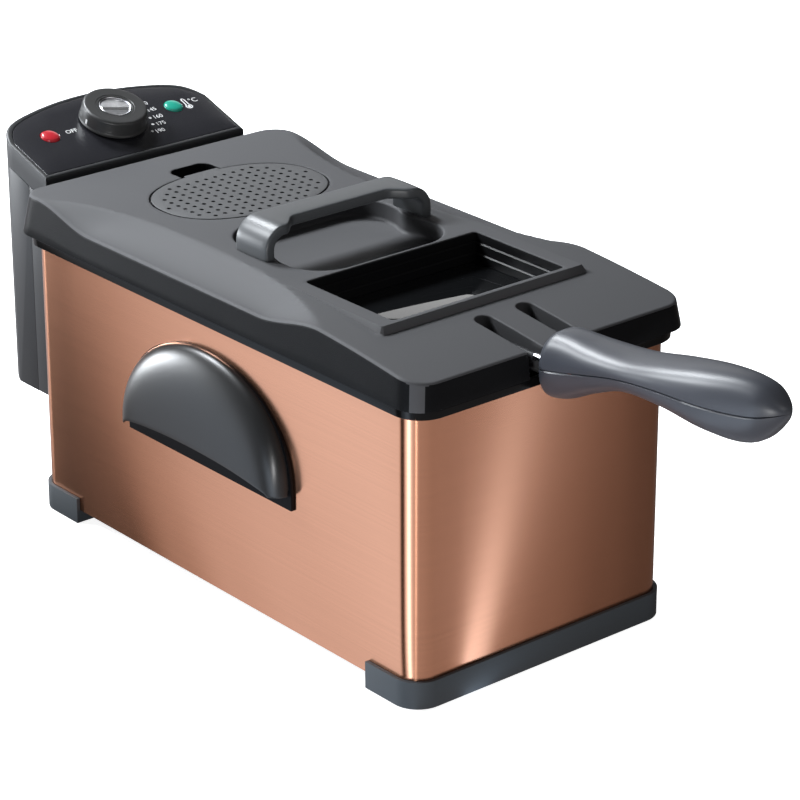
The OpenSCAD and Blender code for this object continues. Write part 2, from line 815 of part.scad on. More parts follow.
// Drafted rounded block, inset by t
module lid_block(t, z0) {
    rise = lid_h + 6;
    lean = lid_draft * rise / lid_h;
    hull() {
        translate([0, 0, z0])
            block(2 * (lid_hx - t), 2 * (lid_hy - t), 0.01, lid_r - t, $fn = hull_fn);
        translate([0, 0, lid_z + rise])
            block(2 * (lid_hx - t - lean), 2 * (lid_hy - t - lean), 0.01, lid_r - t, $fn = hull_fn);
    }
}

module lid_solid(t) {
    intersection() {
        lid_field(t, lid_z - 5);
        lid_block(t, t > 0 ? lid_z - 1 : lid_z);
    }
}

// Rounded rectangle prism made by a hull, for cuts in the lid
module pocket(cx, cy, w, l, r, z0, z1) {
    hull() translate([cx, cy, z0]) block(w, l, z1 - z0, r, $fn = hull_fn);
}

// Outline of the filter cover grown by g
function cover_outline(g) = [for (i = [0:71]) let(a = 5 * i, c = cos(a), s = sin(a))
    [(cover_half_w + g) * sign(c) * pow(abs(c), 2 / cover_square),
        (cover_half_l + g) * sign(s) * pow(abs(s), 2 / cover_square)]];

// Prism over the filter cover's outline and its finger recess, grown by g
module filter_pocket(g, z0, z1) {
    translate([cover_x, cover_y, z0]) linear_extrude(z1 - z0) {
        polygon(cover_outline(g));
        finger_recess(g);
    }
}

// Rounded hollow behind the filter cover, grown by g
module finger_recess(g) {
    l = 2 * tab_l;
    translate([tab_x, cover_half_l + tab_l - l / 2]) rounded(2 * (tab_half_w + g), l + 2 * g, tab_r);
}

module wire_slots() {
    for (s = [-1, 1]) {
        pocket(s * wire_x, slot_end - slot_l / 2, 2 * slot_half, slot_l, slot_half - 0.1,
            lid_z - 20, lid_top + 5);
        translate([s * wire_x - slot_half, -lid_hy - 5, lid_z - 20])
            cube([2 * slot_half, lid_hy + 5 + slot_end - 10, lid_h + 30]);
    }
}

module lid_posts() {
    for (sx = [-1, 1], y = [-0.82, -0.02, 0.82])
        translate([sx * (lid_hx - 16), y * lid_hy, rim_top + liner_t])
            cylinder(r = lid_post_r, h = lid_h, $fn = bore_fn);
}

module lid_shell() {
    win_out = win_w + 2 * lid_wall;
    place() color([0.2, 0.2, 0.21]) difference() {
        union() {
            difference() {
                lid_solid(0);
                lid_solid(lid_wall);
            }
            intersection() {
                lid_solid(0);
                union() {
                    pocket(0, win_y, win_out, win_l + 2 * lid_wall, 5, glass_top + fit_gap, lid_top);
                    pocket(0, dish_y, 2 * (dish_half_w + lid_wall), 2 * (dish_half_l + lid_wall),
                        dish_r + lid_wall, lid_top - dish_depth - lid_wall, lid_top);
                    filter_pocket(cover_gap + lid_wall, pocket_z - lid_wall, lid_top);
                    for (s = [-1, 1])
                        translate([s * wire_x - slot_half - lid_wall, -lid_hy, rim_top + liner_t])
                            cube([2 * (slot_half + lid_wall), lid_hy + slot_end + lid_wall, lid_h]);
                    for (s = [-1, 1])
                        translate([s * lid_screw_x, lid_screw_y, lid_top - lid_boss_h])
                            cylinder(r = lid_boss_r, h = lid_boss_h, $fn = bore_fn);
                    lid_posts();
                }
            }
            hull() {
                translate([0, win_y + (frame_rear - frame_front) / 2, lid_top - 0.01])
                    block(win_w + 2 * frame_side, win_l + frame_front + frame_rear, eps, 1.5,
                        $fn = hull_fn);
                translate([0, win_y + (frame_rear - frame_front - frame_bevel) / 2,
                    lid_top - frame_bevel - 3])
                    block(win_w + 2 * (frame_side + frame_bevel),
                        win_l + frame_front + frame_rear + frame_bevel, eps, 2, $fn = hull_fn);
            }
        }
        pocket(0, win_y, win_w, win_l, 3, lid_z - 10, lid_top + 5);
        pocket(0, win_y, win_w + 2 * (glass_lap + fit_gap), win_l + 2 * (glass_lap + fit_gap), 5,
            lid_z - 10, glass_top + fit_gap);
        pocket(0, dish_y, 2 * dish_half_w, 2 * dish_half_l, dish_r, lid_top - dish_depth, lid_top + 5);
        filter_pocket(cover_gap, lid_top - cover_t, lid_top + 5);
        translate([cover_x, cover_y, pocket_z]) linear_extrude(lid_h) {
            polygon(cover_outline(-ledge));
            finger_recess(cover_gap);
        }
        filter_outlet(pocket_z - 20, 40);
        wire_slots();
        for (s = [-1, 1])
            translate([s * lid_screw_x, lid_screw_y, lid_z]) {
                cylinder(r = lid_screw_r + fit_gap, h = lid_h + 5, $fn = bore_fn);
                cylinder(r = lid_screw_head_r + fit_gap, h = lid_h - lid_boss_h + screw_head_h,
                    $fn = bore_fn);
            }
        translate([-bracket_hx - 2, lid_hy - 20, lid_z - 5])
            cube([2 * (bracket_hx + 2), 30, bracket_z + bracket_h + 1.5 - lid_z + 5]);
    }
}

// Hole under the filter for the steam
module filter_outlet(z0, h) {
    translate([cover_x - outlet_half[0], cover_y - outlet_half[1], z0])
        cube([2 * outlet_half[0], 2 * outlet_half[1], h]);
}

module lid_liner() {
    w = 2 * (lid_hx - lid_wall - liner_gap);
    l = 2 * (lid_hy - lid_wall - liner_gap);
    place() color([0.6, 0.61, 0.63]) difference() {
        translate([0, 0, rim_top]) block(w, l, liner_t, lid_r - lid_wall - liner_gap);
        translate([0, win_y, rim_top - 1]) block(win_w - 4, win_l - 4, liner_t + 2, 4);
        filter_outlet(rim_top - 1, liner_t + 2);
        for (s = [-1, 1])
            translate([s * wire_x - slot_half, -lid_hy - 5, rim_top - 1])
                cube([2 * slot_half, lid_hy + 5 + slot_end, liner_t + 2]);
        translate([-bracket_hx - 2, bracket_y - 3, rim_top - 1])
            cube([2 * (bracket_hx + 2), lid_hy - bracket_y + 10, liner_t + 2]);
    }
}

module lid_handle() {
    span = 2 * strap_half;
    top = lid_top + strap_h;
    place() color([0.2, 0.21, 0.22]) difference() {
        intersection() {
            translate([0, strap_y, 0]) rotate([90, 0, 0]) linear_extrude(strap_w) difference() {
                strap_outline(strap_half, top, strap_r);
                strap_outline(strap_half - strap_t, top - strap_t, strap_r - strap_t);
            }
            translate([0, 0, lid_top]) linear_extrude(strap_h + 1) polygon([
                [-strap_half - 1, strap_y + 1], [strap_half + 1, strap_y + 1],
                [strap_half + 1, strap_y - strap_w], [strap_half - strap_flare, strap_y - strap_w],
                [strap_half - strap_flare - strap_taper, strap_y - strap_mid_w],
                [-strap_half + strap_flare + strap_taper, strap_y - strap_mid_w],
                [-strap_half + strap_flare, strap_y - strap_w], [-strap_half - 1, strap_y - strap_w]]);
        }
        for (s = [-1, 1])
            translate([s * lid_screw_x, lid_screw_y, lid_top - 1])
                cylinder(r = lid_screw_r + fit_gap, h = 12);
    }
}

// Upright section of the strap: straight legs and round upper corners
module strap_outline(half, top, r) {
    translate([-half, lid_top]) square([2 * half, top - r - lid_top]);
    translate([-half + r, lid_top]) square([2 * (half - r), top - lid_top]);
    for (s = [-1, 1]) translate([s * (half - r), top - r]) circle(r);
}

module lid_handle_screws() {
    place() color([0.7, 0.7, 0.72])
        for (s = [-1, 1])
            translate([s * lid_screw_x, lid_screw_y, lid_top - lid_boss_h + screw_head_h])
                screw(lid_screw_r, 17, lid_screw_head_r, screw_head_h);
}

module window_pane() {
    place() color([0.1, 0.1, 0.12, 0.6])
        translate([0, win_y, glass_top - glass_t])
            block(win_w + 2 * glass_lap, win_l + 2 * glass_lap, glass_t, 4);
}

// Flat ring below the glass
module window_ring(z0, t) {
    translate([0, win_y, z0]) difference() {
        block(win_w + 2 * glass_lap, win_l + 2 * glass_lap, t, 4);
        translate([0, 0, -1]) block(win_w - 4, win_l - 4, t + 2, 3);
    }
}

module window_seal() {
    place() color([0.3, 0.3, 0.3]) window_ring(glass_top - glass_t - seal_t, seal_t);
}

module window_clamp() {
    z0 = rim_top + liner_t;
    place() color([0.14, 0.14, 0.15]) window_ring(z0, glass_top - glass_t - seal_t - z0);
}

// Steam filter
module filter_mat() {
    place() color([0.55, 0.55, 0.52]) translate([cover_x, cover_y, pocket_z])
        linear_extrude(mat_t) polygon(cover_outline(-ledge - 2));
}

module filter_cover() {
    place() color([0.3, 0.3, 0.31]) translate([cover_x, cover_y, lid_top - cover_t]) {
        difference() {
            linear_extrude(cover_t) polygon(cover_outline(0));
            for (i = [-9:8], j = [-6:6])
                let(x = (i + 0.5) * hole_pitch, y = hole_shift + j * hole_pitch)
                    if (pow(abs(x / (cover_half_w - hole_edge)), cover_square)
                        + pow(abs(y / (cover_half_l - hole_edge)), cover_square) < 1)
                        translate([x, y, -1]) cylinder(r = hole_r, h = cover_t + 2, $fn = bore_fn);
        }
        translate([tab_x - tab_half_w + cover_gap, cover_half_l - 1.5, 0])
            cube([2 * (tab_half_w - cover_gap), tab_bar, cover_t]);
    }
}

// Control unit: plan outline, inset by t
function bow(u) = unit_l - unit_arc * u * u
    - (unit_l - unit_side_l - unit_arc) * pow(abs(u), unit_corner);
function unit_outline(t) = concat(
    [[unit_hx - t, t]],
    [for (i = [18:-1:-18]) let(u = sin(5 * i)) [u * (unit_hx - t), bow(u) - t]],
    [[-unit_hx + t, t]]);

// Column over the plan outline between two heights
module unit_column(t, z0, z1) {
    translate([0, unit_y, z0]) linear_extrude(z1 - z0) polygon(unit_outline(t));
}

// Space above the sloping plane that lies down below the panel by drop
module above_panel(drop) {
    translate([0, unit_y, panel_z - drop]) rotate([panel_tilt, 0, 0])
        translate([-unit_w, -60, 0]) cube([2 * unit_w, 240, 120]);
}

// Side profile of the lower body, with a round rear lower edge
module lower_profile(t) {
    y0 = low_y + t;
    y1 = unit_y + unit_l + 1;
    z0 = unit_z + t;
    r = unit_r - t;
    translate([-unit_w, 0, 0]) rotate([90, 0, 90]) linear_extrude(2 * unit_w) {
        translate([y0, z0]) square([y1 - t - r - y0, far]);
        translate([y0, z0 + r]) square([y1 - t - y0, far]);
        translate([y1 - t - r, z0 + r]) circle(r);
    }
}

// Whole body of the control unit below the cap, inset by t
module unit_body(t) {
    difference() {
        intersection() {
            union() {
                unit_column(t, unit_z, unit_top_rear + 20);
                translate([-unit_hx + t, low_y + t, unit_z])
                    cube([unit_w - 2 * t, unit_y - low_y + 5, step_z - unit_z - t]);
            }
            lower_profile(t);
        }
        above_panel(cap_h);
    }
}

box_screw_y = unit_y + bow(box_screw_x / unit_hx) - 1;

// Posts in the front shell that take the screws of the rear shell
module unit_posts() {
    y0 = low_y + unit_wall / 2;
    for (s = [-1, 1], z = box_screw_z)
        translate([s * box_screw_x, y0, z]) rotate([-90, 0, 0]) difference() {
            cylinder(r = box_post_r, h = box_screw_y - unit_wall - y0);
            translate([0, 0, 10]) cylinder(r = box_screw_r + fit_gap, h = 80);
        }
}

module box_screw_holes() {
    for (s = [-1, 1], z = box_screw_z)
        translate([s * box_screw_x, box_screw_y, z]) rotate([90, 0, 0]) {
            translate([0, 0, -1]) cylinder(r = box_screw_r + fit_gap, h = 10);
            translate([0, 0, -10]) cylinder(r = box_screw_head_r + fit_gap, h = 10);
        }
}

// Groove for a rail, closed at the top where the unit rests on the rail, grown by g
module rail_groove(s, g) {
    half = rail_w / 2 + slide_gap + g;
    translate([s * rail_x - half, low_y - 1, unit_z - 1])
        cube([2 * half, hy + rail_d + slide_gap + g - low_y + 1, rail_top + fit_gap + g - unit_z + 1]);
}

module unit_walls() {
    difference() {
        union() {
            difference() {
                unit_body(0);
                difference() {
                    unit_body(unit_wall);
                    above_panel(cap_h + unit_wall);
                }
            }
            intersection() {
                unit_body(0);
                for (s = [-1, 1]) rail_groove(s, unit_wall);
            }
            translate([gland_x, gland_seat - gland_boss - unit_wall, gland_z]) rotate([-90, 0, 0])
                cylinder(r = gland_r + 1, h = gland_boss + unit_wall);
        }
        for (s = [-1, 1]) rail_groove(s, 0);
        translate([gland_x, split_y, gland_z]) rotate([-90, 0, 0]) cylinder(r = gland_r - 1.5, h = 100);
        translate([reset_x, split_y, reset_z]) rotate([-90, 0, 0])
            cylinder(r = reset_r + slide_gap, h = 100);
        translate([switch_x, low_y - 1, switch_z]) rotate([-90, 0, 0])
            cylinder(r = plunger_r + 2 * slide_gap, h = 10);
        translate([-bracket_hx, unit_y - 5, bracket_z])
            cube([2 * bracket_hx, 20, bracket_h]);
        dial_axis() translate([0, 0, -cap_h - 10]) cylinder(r = therm_r + 1, h = 30);
    }
}

module control_front_shell() {
    place() color([0.14, 0.14, 0.15]) {
        intersection() {
            unit_walls();
            translate([-unit_w, 0, 0]) cube([2 * unit_w, split_y - 0.05, far]);
        }
        unit_posts();
    }
}

module control_rear_shell() {
    place() color([0.14, 0.14, 0.15]) difference() {
        intersection() {
            unit_walls();
            translate([-unit_w, split_y + 0.05, 0]) cube([2 * unit_w, far, far]);
        }
        box_screw_holes();
    }
}

// Cap that carries the panel in a shallow tray
module control_cap() {
    place() color([0.15, 0.15, 0.16]) difference() {
        difference() {
            unit_column(0, panel_z - 60, unit_top_rear + 20);
            above_panel(0);
        }
        difference() {
            translate([0, 0, -80]) unit_column(-1, panel_z - 60, unit_top_rear + 80);
            above_panel(cap_h);
        }
        intersection() {
            unit_column(cap_frame, panel_z - 60, unit_top_rear + 20);
            above_panel(panel_t);
        }
        panel_holes(panel_t + 4);
        intersection() {
            unit_column(unit_wall + 1, panel_z - 60, unit_top_rear + 20);
            difference() {
                above_panel(cap_h + 5);
                above_panel(panel_t + 2);
            }
        }
        dial_axis() translate([0, 0, -cap_h - 10]) cylinder(r = shaft_r + 4.5, h = 30);
    }
}

// Places a child on the panel at x and a distance up the slope from the dial
module on_panel(x, up) {
    translate(panel_mid) rotate([panel_tilt, 0, 0]) translate([x, up, 0]) children();
}

module dial_axis() {
    on_panel(0, 0) children();
}

module panel_holes(depth) {
    for (s = [-1, 1]) on_panel(s * lens_x, 0) translate([0, 0, -depth - 1])
        cylinder(r = lens_r + fit_gap, h = depth + 3);
}

module control_panel() {
    place() color([0.08, 0.08, 0.085]) difference() {
        intersection() {
            unit_column(cap_frame + fit_gap, panel_z - 60, unit_top_rear + 20);
            difference() {
                above_panel(panel_t);
                above_panel(0);
            }
        }
        panel_holes(panel_t + 4);
        dial_axis() translate([0, 0, -10]) cylinder(r = shaft_r + 4.5, h = 20);
    }
}

module lens() {
    translate([0, 0, -panel_t - 3]) cylinder(r = lens_r, h = panel_t + 4);
    translate([0, 0, 1]) intersection() {
        translate([0, 0, 2 - 2 * lens_r]) sphere(2 * lens_r);
        cylinder(r = lens_r, h = 5);
    }
}

module red_lens() {
    place() color([0.7, 0.05, 0.06]) on_panel(-lens_x, 0) lens();
}

module green_lens() {
    place() color([0.05, 0.5, 0.4]) on_panel(lens_x, 0) lens();
}

module indicator_lamps() {
    place() color([0.9, 0.8, 0.6])
        for (s = [-1, 1]) on_panel(s * lens_x, 0) translate([0, 0, -panel_t - 3 - 9])
            cylinder(r = lens_r - 2, h = 9);
}

module thermostat() {
    place() color([0.72, 0.72, 0.7]) dial_axis() difference() {
        union() {
            translate([0, 0, -panel_t - 2 - therm_h]) cylinder(r = therm_r, h = therm_h);
            translate([0, 0, -panel_t - 2 - eps]) cylinder(r = shaft_r + 4, h = panel_t + 2);
        }
        translate([0, 0, -panel_t - 2 - 12]) cylinder(r = shaft_r + turn_gap, h = 40);
    }
}

// Block for the cord's wires, on the inside of the front wall
module terminal_block() {
    size = [32, 14, 12];
    place() color([0.85, 0.83, 0.76]) difference() {
        translate([gland_x - size[0] / 2, low_y + unit_wall, gland_z + size[2]]) cube(size);
        for (i = [-1:1])
            translate([gland_x + i * size[0] / 3, low_y + unit_wall + 2, gland_z + 1.5 * size[2]])
                rotate([-90, 0, 0]) cylinder(r = 2.5, h = size[1]);
    }
}

// Steel bracket that carries the heater over the rim
module element_bracket() {
    y0 = bracket_y;
    y1 = unit_y + 12;
    place() color([0.75, 0.76, 0.77]) difference() {
        union() {
            translate([-bracket_hx + 1, y0, bracket_z]) cube([2 * bracket_hx - 2, y1 - y0, bracket_h - 0.3]);
            translate([-bracket_hx + 1, y0, heat_z + 30])
                cube([2 * bracket_hx - 2, bracket_t, bracket_z - heat_z - 30 + eps]);
        }
        translate([-bracket_hx + 1 + bracket_t, y0 + bracket_t, bracket_z - 1])
            cube([2 * (bracket_hx - 1 - bracket_t), y1 - y0, bracket_h - bracket_t + 0.7]);
        translate([-20, y0 - 1, heat_z + 40]) cube([40, bracket_t + 2, 40]);
    }
}

module heating_element() {
    top = bracket_z + bracket_h - bracket_t - 0.6;
    place() color([0.45, 0.45, 0.46]) {
        for (s = [-1, 1]) {
            translate([s * heater_x, heat_y, heat_z + heat_bend])
                cylinder(r = heater_r, h = top - heat_z - heat_bend);
            translate([s * heater_x, heat_y - heat_bend, heat_z + heat_bend]) rotate([90, 0, 90])
                rotate([0, 0, -90]) rotate_extrude(angle = 90) translate([heat_bend, 0]) circle(heater_r);
            translate([s * heater_x, heat_front, heat_z]) rotate([-90, 0, 0])
                cylinder(r = heater_r, h = heat_y - heat_bend - heat_front);
        }
        translate([0, heat_front, heat_z]) rotate([0, 0, 180])
            rotate_extrude(angle = 180) translate([heater_x, 0]) circle(heater_r);
    }
}

module sensor_bulb() {
    y = bracket_y + bracket_t + bulb_r;
    z = heat_z + 34;
    place() color([0.8, 0.6, 0.45]) {
        translate([-30, y, z]) rotate([0, 90, 0]) cylinder(r = bulb_r, h = 60);
        translate([0, y, z]) cylinder(r = 1, h = bracket_z + 3 - z);
    }
}

module cord_gland() {
    place() color([0.07, 0.07, 0.08]) translate([gland_x, gland_y, gland_z])
        rotate([-90, 0, 0]) difference() {
        union() {
            cylinder(r = gland_r - 1.5 - fit_gap, h = gland_len);
            translate([0, 0, gland_inside]) cylinder(r = gland_r, h = gland_flange);
        }
        translate([0, 0, -1]) cylinder(r = gland_bore, h = gland_len + 2);
    }
}

module safety_switch() {
    place() color([0.2, 0.2, 0.22]) difference() {
        translate([switch_x - switch_size[0] / 2, low_y + unit_wall, switch_z - switch_size[2] / 3])
            cube(switch_size);
        translate([switch_x, low_y, switch_z]) rotate([-90, 0, 0])
            cylinder(r = plunger_r + slide_gap, h = unit_wall + plunger_in + switch_travel);
    }
}

module control_screws() {
    place() color([0.7, 0.7, 0.72])
        for (s = [-1, 1], z = box_screw_z)
            translate([s * box_screw_x, box_screw_y, z]) rotate([90, 0, 0])
                screw(box_screw_r, 14, box_screw_head_r, screw_head_h);
}

// Dial: top of the shaft's bore, and of the insert's pocket floor, above the panel
dial_top = dial_skirt + dial_h;
dial_floor = dial_top - insert_t;
dial_bore_top = dial_floor - 2;
shaft_below = panel_t + 13;

module dial_knob() {
    edge = 2;
    place() color([0.1, 0.1, 0.105]) dial_axis() difference() {
        union() {
            translate([0, 0, dial_skirt]) cylinder(r1 = dial_r + 1, r2 = dial_r, h = dial_h - edge);
            translate([0, 0, dial_top - edge]) cylinder(r1 = dial_r, r2 = dial_r - edge, h = edge);
        }
        translate([0, 0, dial_floor]) cylinder(r = dial_r / 2, h = dial_h);
        cylinder(r = shaft_r + fit_gap / 2, h = dial_bore_top);
    }
}

module dial_insert() {
    place() color([0.8, 0.8, 0.82]) dial_axis() difference() {
        translate([0, 0, dial_floor]) cylinder(r = dial_r / 2 - fit_gap, h = insert_t + 0.5);
        translate([-dial_r, -0.6, dial_top]) cube([2 * dial_r, 1.2, 3]);
    }
}

module dial_shaft() {
    place() color([0.6, 0.6, 0.62]) dial_axis() translate([0, 0, -shaft_below])
        cylinder(r = shaft_r, h = shaft_below + dial_bore_top - fit_gap);
}

module reset_button() {
    y = unit_y + bow(reset_x / unit_hx);
    place() color([0.6, 0.08, 0.06]) translate([reset_x, y, reset_z]) rotate([-90, 0, 0]) {
        translate([0, 0, -unit_wall - 2]) cylinder(r = reset_r, h = unit_wall + 2 + reset_show);
        translate([0, 0, -unit_wall - 4]) cylinder(r = reset_r + 2, h = 2);
    }
}

module switch_plunger() {
    place() color([0.6, 0.5, 0.2]) translate([switch_x, plunger_y, switch_z]) rotate([-90, 0, 0])
        cylinder(r = plunger_r, h = low_y + unit_wall + plunger_in - plunger_y);
}

housing_shell();
base_plate();
front_foot();
rear_foot();
foot_pads();
base_screws();
left_handle_plate();
left_handle_shell();
right_handle_plate();
right_handle_shell();
side_handle_screws();
rear_rails();
oil_pot();
basket_mesh();
basket_frame();
handle_wires();
grip_upper();
grip_lower();
grip_screws();
lid_shell();
lid_liner();
lid_handle();
lid_handle_screws();
window_pane();
window_seal();
window_clamp();
filter_mat();
filter_cover();
control_front_shell();
control_rear_shell();
control_cap();
control_panel();
red_lens();
green_lens();
indicator_lamps();
thermostat();
terminal_block();
element_bracket();
heating_element();
sensor_bulb();
cord_gland();
safety_switch();
control_screws();
dial_knob();
dial_insert();
dial_shaft();
reset_button();
switch_plunger();
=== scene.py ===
"""Looks of a deep fryer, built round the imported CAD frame.

The small CAD nodes are dressed: copied, merged, given soft edges and a procedural material.
The housing, pot, basket, lid, strap, grip, side handles, control cap and dial are new surfaces.
Each new surface is computed in millimetres from the part's sizes and then moved into the frame.
"""
import json
import math

import bmesh
import bpy
import numpy as np
from bpy.props import FloatProperty, FloatVectorProperty, PointerProperty
from mathutils import Matrix, Vector
from mathutils.geometry import delaunay_2d_cdt

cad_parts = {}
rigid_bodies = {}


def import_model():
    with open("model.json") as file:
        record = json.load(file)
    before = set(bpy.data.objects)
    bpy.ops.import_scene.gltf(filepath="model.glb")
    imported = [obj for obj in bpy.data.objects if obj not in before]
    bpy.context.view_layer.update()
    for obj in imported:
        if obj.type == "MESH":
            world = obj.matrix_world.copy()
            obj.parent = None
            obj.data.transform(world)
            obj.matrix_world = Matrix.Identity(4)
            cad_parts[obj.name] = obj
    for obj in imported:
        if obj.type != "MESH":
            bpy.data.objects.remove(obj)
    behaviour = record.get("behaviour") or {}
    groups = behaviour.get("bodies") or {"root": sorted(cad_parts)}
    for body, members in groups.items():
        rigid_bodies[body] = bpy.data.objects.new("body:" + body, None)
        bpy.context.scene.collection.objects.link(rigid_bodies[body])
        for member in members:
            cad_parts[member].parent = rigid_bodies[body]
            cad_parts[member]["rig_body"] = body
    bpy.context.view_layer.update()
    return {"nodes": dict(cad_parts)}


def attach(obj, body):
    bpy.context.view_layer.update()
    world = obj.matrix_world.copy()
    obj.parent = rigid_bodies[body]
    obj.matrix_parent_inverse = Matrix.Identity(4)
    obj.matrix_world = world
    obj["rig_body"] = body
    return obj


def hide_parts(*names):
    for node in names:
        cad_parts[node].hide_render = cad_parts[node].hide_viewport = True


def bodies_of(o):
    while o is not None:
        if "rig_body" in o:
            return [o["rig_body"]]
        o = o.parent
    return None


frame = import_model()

bl_info = {
    "name": "Deep fryer looks",
    "version": (1, 0, 0),
    "blender": (4, 5, 0),
    "location": "View3D > Sidebar > Fryer",
    "description": "Builds the visible surfaces of a deep fryer round its CAD frame",
    "category": "Object",
}

MM = 0.001
SHIFT = 48.275  # mm from the housing's middle to the frame's origin along Y
MERGE = 2e-6  # m, for points of new surfaces
DRESS_MERGE = 2e-5  # m, for points of copied CAD nodes
SMOOTH_ANGLE = math.radians(32)
SHEET_STEP = 12  # mm between the grid points of a flat sheet

# Sizes of the part, in mm, as in its CAD source. An outline is half its size along x, half its size
# along y and its corner radius. X, Y and Z in a name mean a place, T a thickness and HALF half a size.
HOUSE = (100.0, 190.0, 15.0)
HOUSE_LOW, HOUSE_TOP = 9.0, 185.0
RIM = (104.5, 196.0, 19.5)
RIM_TOP = 191.0
POT = (87.0, 175.0, 30.0)
POT_FLOOR = 50.0

# lid: outline, lower edge, top, draft of its walls over their rise, ceiling inside, and the falls of its deck
LID = (108.0, 199.5, 17.0)
LID_Z, LID_TOP, LID_DRAFT = 192.0, 219.3, 4.0
LID_WALL, LID_RISE, CEILING = 2.6, 27.3, 203.0
DECK_FRONT, DECK_FRONT_DROP = -50.0, 11.3
DECK_REAR, DECK_REAR_DROP = 120.0, 2.3
# its side hollows and their crest, the slots for the handle wires, and the cut over the heater's bracket
HOLLOW_X, HOLLOW_Y, HOLLOW_HALF, HOLLOW_DEPTH, CREST_X = 75.0, 34.0, 146.0, 10.5, 104.0
NOTCH_X, NOTCH_HALF, NOTCH_END, NOTCH_STEPS = 16.0, 6.0, -147.0, 16
REAR_CUT_X, REAR_CUT_Z = 56.0, 201.3
# its upright walls as places, and the least size of their normals' x or y part; shade is painted on these
# walls
SKIRT_X, SKIRT_FRONT, SKIRT_REAR, UPRIGHT = 100, -195, 130, 0.86
# window, the frame round it (near, far, half width) and the hand hollow under the strap
WIN = (67.0, 40.5, 3.0)
WIN_Y = -90.5
WIN_FRAME, WIN_SLOPE = (-134.5, -44.0, 78.0), 1.6
GLASS_SEAT = 201.0
# down the window's wall: how far it stands out, height
WIN_STEPS = ((0.0, 213.0), (-1.3, 212.4), (-1.3, 206.6), (-2.4, 206.0), (-2.4, GLASS_SEAT),
             (4.4, GLASS_SEAT), (4.4, CEILING))
DISH = (57.5, 48.0, 26.0)
DISH_Y, DISH_FLOOR = 1.0, 207.3
DISH_EDGE, DISH_CORNER = 1.6, 2.2
# filter cover, a superellipse
COVER_HALF, COVER_X, COVER_Y, COVER_T, COVER_POWER = (60.0, 43.0), 2.0, 103.0, 2.4, 2.3
# the finger tab behind the cover, and the recess for it: middle x, half width, near, far, corner radius
TAB_X = 4.0
TAB = (TAB_X - COVER_X, 13.5, 25.0, 45.0, 0.8)
RECESS = (TAB_X - COVER_X, 15.5, 25.0, 61.0, 8.0)
HOLE_PITCH, HOLE_SHIFT, HOLE_CHAMFER = 7.3, 1.5, 0.15
POCKET_FLOOR, POCKET_EDGE = 209.8, 0.7

# strap, handle wires and grip
STRAP_HALF, STRAP_H, STRAP_T, STRAP_R = 65.5, 21.0, 7.0, 15.0
STRAP_Y, STRAP_W, STRAP_MID, STRAP_TAPER = 20.0, 31.0, 21.0, (36, 14)
WIRE_X, WIRE_Z, WIRE_R = 16.0, 204.0, 2.3
GRIP_START, GRIP_L = -201.0, 177.0
GRIP_HEAD = (20.0, 21.0)
# share of the length, width and height as shares of the head's, middle's height over the wires
GRIP_ROWS = np.array([
    [0.00, 1.00, 1.00, -5.5],
    [0.08, 0.93, 0.95, -3.4],
    [0.20, 0.96, 0.71, 2.0],
    [0.36, 0.96, 0.51, 8.4],
    [0.54, 1.03, 0.64, 12.4],
    [0.72, 0.98, 0.87, 13.4],
    [0.88, 0.74, 0.87, 15.2],
    [1.00, 0.50, 0.40, 19.9]])

# control unit: half width, front, length, bow of the rear, length of the sides; its tilted panel and the dial
UNIT_X, UNIT_Y, UNIT_L, UNIT_ARC, UNIT_SIDE, UNIT_POWER = 80.0, 201.0, 71.5, 16.0, 42.0, 14
PANEL_Z, TILT = 219.3, math.radians(18)
DIAL_Y, SPINDLE_HOLE = 239.0, 7.5
LENS_X, LENS_R = 50.0, 6.5
PANEL_HOLES = ((-LENS_X, LENS_R + 0.2), (LENS_X, LENS_R + 0.2), (0.0, SPINDLE_HOLE))  # x, radius
PANEL_T = 2.0
MARKS = (("190", -47), ("175", -29), ("160", -13), ("145", 4), ("130", 20))  # number, degrees round the dial
DOT_RING, MARK_RING, MARK_T = 27.2, 29.0, 0.06

# side handles: middle, lower edge, half length, height, how far they stand out; and the basket
SIDE_Y, SIDE_Z, SIDE_L, SIDE_H, SIDE_OUT = 3.5, 99.0, 80.0, 69.0, 14.5
ARCH_POWER, LIP = 0.43, 9.0
BASKET = (76.8, 152.8, 21.0)
BASKET_Y, BASKET_Z, BASKET_TOP = -13.0, 78.0, 164.0

CAMERA_AT, CAMERA_BACK = (-1.1698, -1.3997, 0.9045), (-0.5919, -0.7035, 0.3933)
# the pools of light that polished faces see on the floor: strengths by degrees round the housing's
# front left corner, and by place along the left and the front pool
FLOOR_CORNER, TURN_START = (-0.1, -0.142, 0.0), 45
AROUND = ((128, 1.1), (137, 0.9), (146, 0.03), (158, 0.05), (170, 1.3), (186, 3.6), (200, 1.0), (214, 0.62),
          (240, 0.5), (300, 0.42))
LEFT_POOL = ((0.0, 1.1), (0.16, 1.05), (0.42, 0.86), (0.52, 0.72), (0.60, 0.45), (0.68, 0.1), (0.78, 0.03),
             (0.88, 0.3), (1.0, 0.6))
FRONT_POOL = ((0.0, 0.42), (0.42, 0.40), (0.465, 0.6), (0.49, 2.0), (0.52, 1.5), (0.57, 0.42), (0.70, 0.28),
              (0.86, 0.17), (1.0, 0.12))
LIGHT_AIM = (0, 0, 0.14)
COOL, NEUTRAL = (0.92, 0.96, 1.0), (1, 1, 1)
